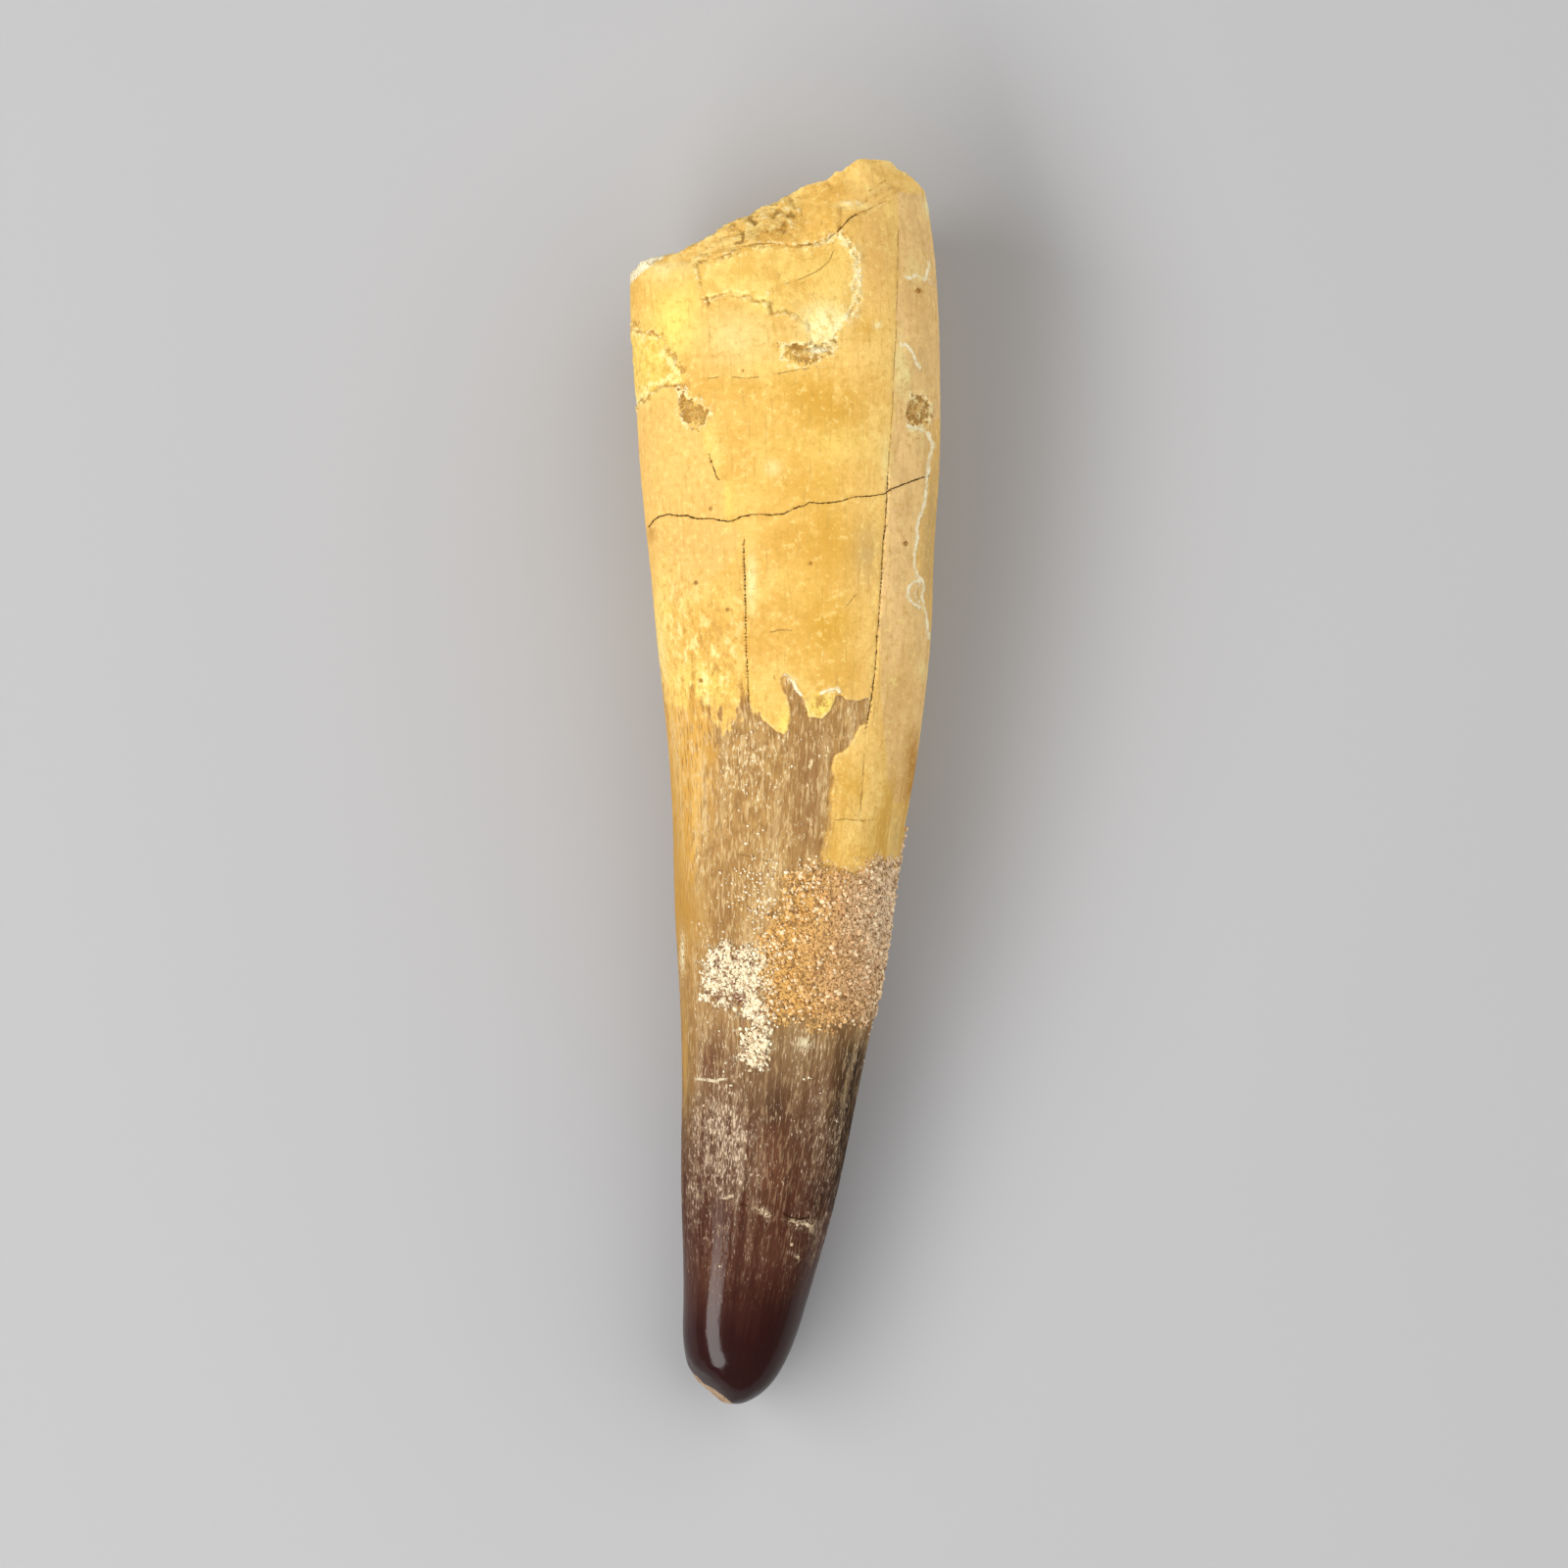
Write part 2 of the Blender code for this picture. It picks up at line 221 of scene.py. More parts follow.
print(len(AREAS), "areas with the break and the chips")

# %% [markdown]
# The last outlines are zones that differ in colour: the crust of sand and the pale granular crust
# beside it, the brown striated enamel just under the root layer, the strip of root right of the
# lengthwise crack, and a smooth thin layer at both edges of the root.

# %% Crusts and zones of colour
AREAS.update({
    "pale crust": {
        "upper": [[(-8.2, -18.6), (-6.8, -17.6), (-5, -18), (-3.4, -18.4), (-2.4, -19.5), (-2.2, -24),
                   (-2, -27), (-2.2, -31), (-3.6, -31.8), (-4.8, -30.8), (-4.4, -28.5), (-4.2, -26),
                   (-5.5, -25.2), (-7.5, -24.6), (-9.2, -23.6), (-8.6, -22), (-8.9, -20.2)]],
        "belly": [],
    },
    "sand crust": {
        "upper": [[(0.5, -9.5), (3, -9), (5.5, -9.5), (8, -10.5), (10.5, -9), (18, -8.5), (18, -24),
                   (11.3, -23.5), (9.8, -26.5), (6.5, -27), (4, -26.8), (1, -26), (-2, -26),
                   (-2.2, -23), (-2.4, -18), (-1.5, -15.5), (0, -13)]],
        "belly": [[(6, -3), (18, -6), (16, -23), (9, -22), (5, -18), (4, -9)]],
    },
    "brown zone": {
        "upper": [[(-8.4, 9), (-5, 10), (-1, 9), (1, 13), (9.8, 10), (9.4, 5), (5.2, 1), (4.6, -8.5),
                   (3, -14), (1.5, -20), (-2, -22), (-13, -22), (-11.6, -16), (-9.8, -11), (-8.6, -4),
                   (-8, 3)]],
        "belly": [[(-9, 4), (-3, 2.5), (3, 3), (6, -3), (4, -12), (0, -22), (-8, -22)]],
    },
    "grey strip": {
        "upper": [[(12.75, 66), (12.7, 57.6), (12.6, 54), (12.5, 50), (12.2, 46), (12.1, 42),
                   (11.8, 38), (11.6, 35), (11.3, 29), (10.8, 22), (10.4, 16.4), (10.8, 8), (12, -2),
                   (22, -2), (22, 66)]],
        "belly": [[(13, 66), (12.2, 55), (14, 46), (12.8, 38), (14.5, 28), (12, 18), (13, 8), (12, -2),
                   (22, -2), (22, 66)]],
    },
    "peach layer": {
        "upper": [[(-20, 42), (-16.2, 42.2), (-14.3, 44), (-13, 44.5), (-11.3, 44), (-11.4, 41.5),
                   (-10, 39.6), (-8.6, 38), (-8.2, 36.2), (-7.8, 35), (-7.4, 33.9), (-6.8, 33.6),
                   (-6.6, 32), (-6.3, 29.3), (-4.6, 28), (-5.5, 25), (-8.5, 22), (-12, 20), (-20, 22)],
                  [(13.5, 40), (16, 39.2), (16.3, 38.4), (16.7, 37.9), (16.4, 37.2), (16.1, 36),
                   (16, 34.5), (15.8, 32.5), (15.6, 31), (15.2, 30), (14.8, 28.8), (14.9, 27.5),
                   (14.6, 26.2), (14.5, 24.5), (14.8, 23.3), (15.5, 22.5), (15.6, 21.4), (15.3, 21),
                   (15.6, 20), (15.9, 18.8), (16.2, 16), (22, 14), (22, 42)]],
        "belly": [[(-20, 60), (-8, 58), (-7, 30), (-10, 16), (-20, 14)],
                  [(14.5, 14), (15.5, 21), (14.2, 27), (15.4, 35), (13.8, 42), (22, 42), (22, 14)]],
    },
})
outline_count = sum(len(outlines) for sides in AREAS.values() for outlines in sides.values())
print(len(AREAS), "areas,", outline_count, "outlines")

# %% [markdown]
# A crack is a line with a depth. Lines that meet or cross are kept in different groups, because
# each group becomes one number on the surface: the sideways distance to its nearest line.

# %% Cracks
CRACKS = {
    "crack across": {
        "upper": [
            [(-15.3, 28.6), (-14.6, 29.5), (-13.8, 29.9), (-12.9, 30.05), (-12, 29.9), (-10.8, 29.85),
             (-9.8, 29.5), (-8, 29.5), (-7.2, 29.3), (-6.4, 29.2), (-6, 29.15), (-5.5, 29.3),
             (-4.9, 29.65), (-3.4, 29.9), (-2.4, 29.95), (-1.4, 29.85), (0, 30), (1.4, 30.7),
             (2.2, 30.9), (2.8, 31.25), (4, 31.15), (5, 31.2), (6.3, 31.4), (8.1, 31.9), (9.8, 32),
             (11.4, 32.3), (11.6, 32.6), (13, 33.2), (14.5, 33.8), (16.2, 34.4)],
            [(-0.2, -48), (0.3, -48.3), (1, -48.6), (2, -48.8), (3, -48.5)],
            [(-4.9, -47), (-4.4, -47.1), (-3.8, -47.2)],
            [(5.8, 61.2), (6.5, 61.9), (7, 62.5), (7.4, 63), (8.3, 63.5)],
        ],
        "belly": [
            [(-15.3, 28.6), (-13, 27.4), (-10, 27.9), (-6.5, 26.2), (-3, 27), (0.5, 25.1), (3, 25.8),
             (5.5, 23.6)],
            [(16.2, 34.4), (13, 34), (11, 35.2), (8.5, 34.8), (6, 36.5)],
            [(-6, -16), (-3, -16.8), (0, -16.2), (2, -17)],
        ],
    },
    "crack along": {
        "upper": [
            [(11.6, 35), (11.5, 32.5), (11.3, 29), (11, 26), (10.8, 22), (10.55, 18), (10.4, 16.4),
             (10.3, 14), (10.1, 12), (9.8, 10), (9.6, 8.5), (9.3, 7), (9.1, 6)],
            [(-4.45, 27.4), (-4.45, 25), (-4.35, 23), (-4.3, 20), (-4.25, 18), (-4.2, 15), (-4.1, 13.5),
             (-4, 11), (-3.95, 9.2)],
            [(-8.4, 36.8), (-8.2, 36.2), (-7.8, 35), (-7.4, 33.9), (-6.8, 33.5)],
        ],
        "belly": [
            [(-2, 58), (-2.4, 50), (-1.8, 42), (-2.3, 34), (-1.6, 27)],
            [(7, 48), (6.6, 40), (6.9, 30), (6.2, 20), (6.4, 10), (5.5, 2)],
            [(-8, 14), (-7.6, 4), (-7.9, -6)],
        ],
    },
}
print({name: len(sides["upper"]) for name, sides in CRACKS.items()})

# %% [markdown]
# Two more groups are hardly deeper than paint: hairlines, which show as a thin brown trace, and
# pale lines, the ragged edges of thin mineral layers, which stand up a little instead.

# %% Hairlines and pale lines
CRACKS.update({
    "hairline": {
        "upper": [
            [(12.75, 62), (12.7, 57.6), (12.6, 54), (12.5, 50), (12.2, 46), (12.1, 42), (11.8, 38),
             (11.6, 35)],
            [(-9.8, 58.1), (-8, 58.3), (-6, 58.9), (-4.2, 59.8), (-2, 60), (2, 59.8), (3.6, 60.1),
             (5, 60.6), (5.8, 61.2)],
            [(8.3, 63.5), (10, 64.2), (11.7, 65.2)],
            [(9.3, 65.9), (10, 66.3), (11.5, 67.4)],
            [(-1, 55.2), (0.5, 55.6), (2.2, 56.2), (3.8, 57), (5, 58), (5.6, 59.4)],
            [(-8.4, 54), (-8.5, 52), (-8.2, 49.5)],
            [(6.6, 19.4), (7.3, 20.2), (8.1, 21.1)],
            [(-1.7, 16.9), (-0.4, 17.1), (1.1, 17.1)],
            [(-1.2, 12.2), (-0.8, 11.2), (0.2, 11)],
            [(9.1, 6), (8.9, 2), (8.5, -4)],
            [(5.6, -4), (7, -3.9), (8.5, -4.1), (10.4, -4)],
            [(-6.4, -7.7), (-4.5, -7.9), (-3, -8.2), (-2, -8.6), (-0.6, -8.4)],
            [(-8.8, 45), (-6.4, 45.3), (-4, 45), (-1, 45.5), (3, 46.2)],
        ],
        "belly": [[(-6, 44), (-1.5, 43.2), (2, 44), (7, 43)]],
    },
    "pale line": {
        "upper": [
            [(13.5, 40), (14.8, 39.6), (16, 39.2), (16.3, 38.4), (16.7, 37.9), (16.4, 37.2), (16.1, 36),
             (16, 34.5), (15.8, 32.5), (15.6, 31), (15.2, 30), (14.8, 28.8), (14.9, 27.5), (14.6, 26.2),
             (14.5, 24.5), (14.8, 23.3), (15.5, 22.5), (15.6, 21.4), (15.3, 21), (15.6, 20),
             (15.9, 18.8), (16.2, 16)],
            [(15.4, 22.6), (14.4, 22.5), (13.8, 21.8), (13.8, 20.7), (14.6, 20), (15.4, 19.6)],
            [(-10.2, -33), (-9, -33), (-8, -33.2), (-7, -33), (-6.2, -33)],
            [(-7.2, -46.4), (-6.4, -46.3), (-5.5, -46)],
            [(-0.1, 12.3), (0.8, 11.6), (1.4, 10.5), (2.1, 9.7)],
            [(3.8, 10), (4.8, 10.4), (5.9, 10.7), (6.3, 10)],
            [(13.3, 56.5), (14, 56.3), (14.7, 56.7), (15.3, 56.4), (15.8, 56.2), (16, 57.2),
             (16.2, 58.6)],
            [(12.8, 48.9), (13.7, 48.8), (14.4, 47.9), (14.9, 46.6), (15.4, 46.3)],
        ],
        "belly": [[(-8.8, 24), (-7.6, 32), (-7.5, 40), (-8.4, 48)],
                  [(8.2, 53), (9.2, 47), (11.5, 44.4), (15, 45)]],
    },
})
CRACK_DEPTH = {"crack across": 0.14, "crack along": 0.1, "hairline": 0.03, "pale line": -0.08}
CRACK_HALF_WIDTH = {"crack across": 0.17, "crack along": 0.17, "hairline": 0.25, "pale line": 0.35}

# %% [markdown]
# Colour on the root changes softly, in patches. They are painted like an airbrush would: each
# patch is a centre, two radii and a strength. Where the root layer crumbles it breaks up into
# blotches, so that has patches too.

# %% Soft patches on the root
PATCHES = {
    "cream": [(-13, 57.5, 2.5, 1.6, 0.7), (-5, 49.5, 4.5, 3.6, 0.5), (4.4, 51, 2.4, 2, 1.3),
              (-3.6, 22.4, 0.55, 2.8, 1.2), (12.9, 46.5, 0.6, 3.5, 0.7), (11.3, 36, 0.5, 3, 0.6),
              (-1.2, 35, 0.9, 0.9, 0.7), (-16.3, 43, 0.8, 1.3, 1), (-13.9, 12, 0.7, 6, 0.7),
              (0.9, 11, 0.5, 0.9, 0.9), (3.8, 48.2, 1.2, 0.5, 1.3), (8.2, 56, 0.5, 3, 0.6),
              (13.2, 69.3, 1.6, 0.8, 0.8), (16.1, 64.6, 0.5, 1.2, 1), (10.4, 51, 0.4, 0.4, 1.2),
              (13.7, 45.4, 0.3, 1, 1), (-8.6, 9.2, 0.4, 1, 0.7), (-8.7, -0.6, 0.5, 2, 0.8),
              (-11.3, -19, 0.5, 2.6, 1.2), (15.5, 12.8, 0.6, 1, 0.6), (14.5, 57.2, 1, 1.4, 0.5),
              (7.5, 64.3, 2.4, 0.35, 0.6), (2.4, -28.8, 0.7, 0.5, 1.2)],
    "lemon": [(-12, 51.5, 2, 2.8, 1), (-14.6, 46.8, 1.8, 2.8, 0.8), (-8.1, 38.2, 0.6, 1.3, 0.9),
              (-5, 55.6, 4, 1.3, 0.5), (-2, 53.3, 1.8, 0.8, 0.9), (4.3, 8.6, 1.5, 1.2, 1),
              (-9, 11, 3.4, 2, 0.5), (-13.6, 20, 0.9, 5, 0.4), (0, 6.6, 0.7, 1.4, 0.8),
              (-6.2, 31, 0.5, 2, 0.5), (5, 38, 6, 2, 0.25)],
    "ochre": [(2, 44.2, 8, 1.6, 0.6), (4.5, 41.6, 6.5, 2.2, 0.75), (4.5, 27.5, 4, 4.5, 0.75),
              (5, 17.6, 3.6, 3.8, 0.95), (8.6, 50.8, 1.9, 1.6, 0.8), (5, 11.8, 4.5, 2, 0.3),
              (-6.5, 44.4, 3.4, 0.8, 0.5), (7.4, 0, 1.7, 1.8, 0.7), (-6.6, 11.3, 1.5, 0.8, 0.6),
              (-9.3, 18.8, 0.7, 0.7, 0.5), (12.8, 67.8, 2, 0.5, 0.4), (8.4, 69.7, 0.8, 0.3, 1),
              (3, 34, 6, 2.4, 0.55), (8.8, -8, 3, 1, 0.5), (-0.4, 52.2, 1.2, 0.6, 0.7),
              (1.1, 47.9, 1.1, 0.5, 0.9)],
    "peach": [(-9.4, 60.4, 2.6, 1.6, 0.8), (10, 59.5, 2.3, 6, 0.75), (-11, 26, 4, 3.6, 0.4),
              (13, 10, 2.4, 6, 0.5), (-1, 62.8, 2.4, 2.2, 0.4), (14.5, 53.5, 2.4, 4.5, 0.35)],
    # the grey patches at the root's right edge are partly painted shade, where the light falls off; the
    # rest is the root's own grey
    "grey": [(9.2, 25.6, 1.4, 3.6, 0.7), (12, -5.8, 1.7, 2.4, 0.7), (14.6, 61, 2.6, 5, 0.2),
             (15.6, 48, 2, 4, 0.3), (16.6, 27, 1.4, 9, 0.7), (15.2, 65.5, 1.2, 0.8, 0.4)],
    "orange": [(14.5, 1.5, 1, 5, 0.9), (-11.8, -8.4, 1, 5.4, 0.9), (13, -1, 1.6, 2.6, 0.4),
               (-12.4, 1, 0.7, 4, 0.5), (-12.9, 46.3, 0.8, 0.5, 0.6), (-11, 44.2, 0.8, 0.5, 0.8),
               (-13.2, 48.4, 0.4, 1, 0.5), (15, 55, 0.4, 0.3, 1.3), (-14.8, 28, 0.6, 1, 0.7),
               (-11.2, 42.6, 0.3, 1.2, 1), (-9.9, 41, 0.9, 0.5, 0.9), (14, 41.8, 0.4, 1.2, 0.7),
               (-10.6, -29, 0.7, 5, 0.3)],
    "crumbling": [(-8.5, 13, 4.5, 5.5, 1), (4.6, 51.6, 1.8, 1.8, 1), (7.6, 56, 0.7, 3, 0.8),
                  (8.6, -2, 2.6, 6, 0.35), (-12, 20, 2.5, 5, 0.6), (4.2, 8.8, 1.7, 1.5, 1.3),
                  (-6, 20, 2, 3, 0.4), (1, 5, 2, 2, 0.5), (14.5, 40, 1.4, 2.6, 0.7),
                  (13.5, 44.5, 0.8, 2.2, 0.6)],
}
print({name: len(patches) for name, patches in PATCHES.items()})

# %% [markdown]
# The enamel has its own patches: pale dust that sits in the striae, the tones under it, rust
# spots in the pale crust, and chalky crumbs, of which a few lie on the root.

# %% Soft patches on the enamel
PATCHES.update({
    "dust": [(-6.6, -40, 2.8, 6.5, 1.4), (-9.5, -37, 1.8, 3, 0.4), (-10, -47, 1, 5, 0.5),
             (3, -36, 2, 5, 0.55), (5, -43, 1.6, 6, 0.5), (4, -52, 1.5, 4, 0.45),
             (-3.5, -13, 3, 4.5, 0.2), (-4, 2.5, 2.6, 5, 1.4), (1, 3, 4, 5, 0.35),
             (0, -11, 3.5, 3, 0.2), (-7, -27, 3, 2, 0.45), (2, -29, 2.2, 2.4, 0.8), (8, -12, 3, 3, 0.7),
             (11, -18, 1.4, 7, 1), (9, -26, 2, 5, 0.5), (-8, -17, 3, 2, 0.7), (-3, -57, 1, 3, 0.2)],
    "red brown": [(-1.5, -42, 2.2, 4.5, 1.3), (-8.4, -30.5, 2.2, 2.8, 1), (-1.5, -52, 3.5, 3, 0.4),
                  (-8, -54, 2.5, 3, 0.3)],
    # the dark patches along the crown's right edge are painted shade; the others are the enamel's own dark
    # tone
    "dark": [(7.2, -38, 1.7, 8, 1.2), (8.3, -31, 1.4, 3, 0.9), (-1, -36, 1.2, 2.5, 0.6),
             (4.6, -46.5, 1.6, 1.6, 0.6), (3, -57, 2, 5, 0.5), (6.4, -45, 1, 6, 0.8),
             (2, -62, 2, 4, 0.6)],
    "mauve": [(3, 2, 2.4, 6, 1.3), (2.6, -5, 2, 4, 1), (-7, -13, 2, 5, 0.5), (-8, -21, 2.4, 6, 0.5),
              (-4, -8, 2, 2, 0.4)],
    "rust": [(-5, -24.1, 0.9, 0.7, 1.2), (-7.4, -23.9, 0.6, 0.4, 1), (-8.5, -23.2, 0.5, 0.3, 0.9),
             (-7.4, -20, 0.3, 1.1, 0.8), (-5.2, -19.4, 0.25, 0.5, 0.7), (-4.6, -26.5, 0.3, 1.2, 0.6)],
    "olive": [(0.3, -28.5, 2.8, 3.6, 0.9), (5, -27.5, 3, 1.6, 0.4)],
    "gold edge": [(-11, -30, 0.8, 6, 0.9), (-11.6, -14, 1.3, 6, 1), (-12.6, -5, 1.4, 7, 1),
                  (-9.8, -15, 1.6, 4, 0.7)],
    "chalk": [(1.1, -49, 0.7, 0.3, 0.9), (2.5, -49.4, 0.9, 0.45, 1.2), (3.1, -50, 0.4, 0.5, 0.7),
              (-2.4, -47.8, 0.5, 0.35, 1.1), (-1.8, -48.3, 0.5, 0.35, 1), (-3.2, -47.5, 0.5, 0.2, 0.7),
              (1.5, -53, 0.3, 0.5, 0.9), (2.3, -28.9, 0.8, 0.6, 1.2), (-11.4, -19, 0.3, 2.4, 1),
              (8.3, 56.5, 0.35, 2.2, 1), (7.4, 52, 0.9, 0.7, 0.6), (3.9, 48.1, 1.1, 0.35, 1.3),
              (0.8, 11.4, 0.8, 0.35, 0.8), (5.2, 10.4, 0.7, 0.25, 0.9), (7.6, 64.6, 1.4, 0.22, 0.7),
              (16.2, 64.8, 0.4, 1, 1), (10.3, 51, 0.3, 0.3, 1), (-9.6, -46, 0.4, 0.4, 0.7)],
})
print(len(PATCHES), "kinds of patch")

# %% [markdown]
# ## Numbers for every vertex
# The next helpers measure a set of points against the drawings. Depth inside an outline is
# positive inside it and negative outside. The sideways distance to a line has a sign too, so
# that it passes straight through zero between two vertices on either side of a crack: that
# keeps a crack thin, also where the faces are wider than the crack.

# %% Helpers that measure
REACH = 6.0     # distances further than this don't matter
END_FADE = 0.5      # a line fades out over this length at its ends


def ramp(t):
    """Goes smoothly from 0 at t = 0 to 1 at t = 1."""
    t = np.clip(t, 0, 1)
    return t * t * (3 - 2 * t)


def nearest_on(points, line):
    """The nearest place on a line to each point: how far it is from the point, on which side, how
    far it is from an end of the line, and the way to it."""
    x, y = points[:, 0], points[:, 1]
    distance, side, to_end = np.full(len(x), np.inf), np.zeros(len(x)), np.zeros(len(x))
    way = np.zeros((len(x), 2))
    steps = [math.dist(a, b) for a, b in zip(line, line[1:])]
    travelled = 0.0
    for (ax, ay), (bx, by), step in zip(line, line[1:], steps):
        ux, uy = (bx - ax) / step, (by - ay) / step
        along = np.clip((x - ax) * ux + (y - ay) * uy, 0, step)
        dx, dy = x - ax - along * ux, y - ay - along * uy
        here = np.hypot(dx, dy)
        closer = here < distance
        distance = np.where(closer, here, distance)
        side = np.where(closer, np.sign(ux * dy - uy * dx), side)
        to_end = np.where(closer, np.minimum(travelled + along, sum(steps) - travelled - along), to_end)
        way = np.where(closer[:, None], -np.stack([dx, dy], axis=1), way)
        travelled += step
    return distance, side, to_end, way


def depth_inside(points, outline):
    """How far each point lies inside a closed outline, negative outside it."""
    closed = outline + outline[:1]
    distance = nearest_on(points, closed)[0]
    x, y = points[:, 0], points[:, 1]
    inside = np.zeros(len(x), bool)
    for (ax, ay), (bx, by) in zip(closed, closed[1:]):
        if ay != by:
            inside ^= ((ay > y) != (by > y)) & (x < ax + (y - ay) / (by - ay) * (bx - ax))
    return np.clip(np.where(inside, distance, -distance), -REACH, REACH)


def deepest(points, outlines):
    """Depth inside whichever of the outlines a point is deepest in."""
    depths = [depth_inside(points, outline) for outline in outlines]
    return np.max(depths or [np.full(len(points), -REACH)], axis=0)


def beside(points, lines):
    """Sideways distance to the nearest line, and how strongly it counts: not at all past its ends."""
    found = np.full(len(points), REACH)
    best = np.full(len(points), np.inf)
    strength = np.zeros(len(points))
    for line in lines:
        distance, side, to_end, _ = nearest_on(points, line)
        closer = distance < best
        best = np.where(closer, distance, best)
        found = np.where(closer, distance * side, found)
        strength = np.where(closer, ramp(to_end / END_FADE) * ramp(2 - distance), strength)
    return np.clip(found, -REACH, REACH), strength


def painted(points, patches):
    """Strength of the soft patches at each point."""
    total = np.zeros(len(points))
    for cx, cy, rx, ry, strength in patches:
        total += strength * np.exp(-(((points[:, 0] - cx) / rx) ** 2) - ((points[:, 1] - cy) / ry) ** 2)
    return np.clip(total, 0, 1.4)


def unevenness(points, size, octaves=3):
    """Smooth noise between about -1 and 1, in lumps of this size in mm."""
    return np.array([noise.fractal(Vector(p), 1.0, 2.0, octaves) for p in points / size])


# %% [markdown]
# ## The fine faces
# The second pass of cutting is finest near cracks and borders, fine on the rest of the upper
# side, where striae and grain need it, and coarse on the belly's plain stretches. Making cut
# faces into triangles again now and then folds a thin flap: two triangles with the same corners.
# Flaps aren't part of the skin, and taking both triangles away closes it again.

# %% Cut finely where the marks are
LINE_EDGE, UPPER_EDGE, PLAIN_EDGE, BELLY_EDGE = 0.3, 0.48, 0.72, 1.15
LINE_REACH = 0.7
FINE_ROUNDS = 2
BORDERS = ("root layer", "spall", "flake", "pit", "step", "pore", "pale crust", "worn slope")
PLAIN_FROM, PLAIN_TO = 13, 58       # the stretch of root in between is smooth
UPPER_STARTS = ((-70, -20, 40, 70), (4.5, 8.5, 11, 11))     # Y, and the height of the sides there


def wanted_edge(middles):
    """The longest edge that each place may have, in mm."""
    lines = [line for group in ("crack across", "crack along") for line in CRACKS[group]["upper"]]
    lines += [outline + outline[:1] for name in BORDERS for outline in AREAS[name]["upper"]]
    near = np.zeros(len(middles), bool)
    for line in lines:
        low, high = np.min(line, 0) - LINE_REACH, np.max(line, 0) + LINE_REACH
        around = ((middles[:, :2] > low) & (middles[:, :2] < high)).all(axis=1)
        around = np.flatnonzero(around & ~near)
        near[around] = nearest_on(middles[around], line)[0] < LINE_REACH
    plain_root = (middles[:, 1] > PLAIN_FROM) & (middles[:, 1] < PLAIN_TO)
    edge = np.where(plain_root, PLAIN_EDGE, UPPER_EDGE)
    edge = np.where(near, LINE_EDGE, edge)
    side_height = np.interp(middles[:, 1], *UPPER_STARTS)
    return np.where(middles[:, 2] > side_height, edge, BELLY_EDGE)


def remove_flaps(bm):
    """Deletes all triangles that share their three corners with another one."""
    first_with, doubled = {}, {}
    for face in bm.faces:
        other = first_with.setdefault(frozenset(face.verts), face)
        if other is not face:
            doubled.update({other: True, face: True})
    bmesh.ops.delete(bm, geom=list(doubled), context="FACES")
    open_edges = sum(len(edge.link_faces) != 2 for edge in bm.edges)
    print("flap triangles removed:", len(doubled), "open edges left:", open_edges)


cut_long_edges(skin, wanted_edge, turns=4)
remove_flaps(skin)
moved = [v for v in skin.verts if v not in crisp]
for _ in range(FINE_ROUNDS):
    bmesh.ops.smooth_vert(skin, verts=moved, factor=0.5, use_axis_x=True, use_axis_y=True, use_axis_z=True)
mesh = bpy.data.meshes.new("fossil_tooth")
skin.to_mesh(mesh)
skin.free()
print("fine skin:", len(mesh.polygons), "triangles")


def read_vertices(mesh, what):
    """One vector for each vertex: its place, "co", or the way it faces, "normal"."""
    values = np.zeros(len(mesh.vertices) * 3, np.float32)
    mesh.vertices.foreach_get(what, values)
    return values.reshape(-1, 3).astype(float)


place = read_vertices(mesh, "co") / MM
facing = read_vertices(mesh, "normal")

# %% [markdown]
# A groove narrower than the faces comes out as a row of dents, unless there are vertices right on
# its line. So the vertices that are nearly on a crack slide along the surface onto it.

# %% Slide vertices onto the cracks
SNAP = 0.17
for group in ("crack across", "crack along"):
    for side, sign in (("upper", 1), ("belly", -1)):
        for line in CRACKS[group][side]:
            distance, _, to_end, way = nearest_on(place, line)
            near = (distance < SNAP) & (to_end > 0) & (facing[:, 2] * sign > 0.25)
            place[near, :2] += way[near]
            place[near, 2] -= (way[near] * facing[near, :2]).sum(axis=1) / facing[near, 2]

# %% [markdown]
# ## Straightened coordinates
# The enamel's streaks run along the tooth and draw together towards the tip. A pattern in plain
# X, Y and Z would cut across them, so each vertex also gets a place on an imaginary straight
# cylinder: the angle round the tooth stays, and the taper is taken out.

# %% Straighten the tooth
CYLINDER_RADIUS = 12.0
SLAB, SLAB_HALF = 2.0, 1.2      # mm along the tooth, from slab to slab and to each side
EVENED_OVER = 5     # slabs
slab_middles = np.arange(-70, 57, SLAB)
slabs = [place[np.abs(place[:, 1] - y) < SLAB_HALF] for y in slab_middles]


def reach_along(pick, axis):
    """The tooth's least or greatest X or Z, evened out along it, at each vertex's Y."""
    reach = np.pad([pick(slab[:, axis]) for slab in slabs], EVENED_OVER // 2, "edge")
    evened = np.convolve(reach, np.ones(EVENED_OVER) / EVENED_OVER, "valid")
    return np.interp(place[:, 1], slab_middles, evened)


left, right = reach_along(np.min, 0), reach_along(np.max, 0)
low, high = reach_along(np.min, 2), reach_along(np.max, 2)
sideways = (place[:, 0] - (left + right) / 2) / (right - left)
upwards = (place[:, 2] - (low + high) / 2) / (high - low)
round_angle = np.arctan2(upwards, sideways)
straight = np.stack(
    [np.cos(round_angle) * CYLINDER_RADIUS, place[:, 1], np.sin(round_angle) * CYLINDER_RADIUS], axis=1)
print("straightened:", straight.min(0).round(1), straight.max(0).round(1))

# %% [markdown]
# ## Fields
# A field is one number for each vertex. The upper drawing counts where the surface faces up,
# the belly's where it faces down, and they fade into each other round the sides. A little noise
# is added to each depth, so that a border drawn with a few points comes out ragged.

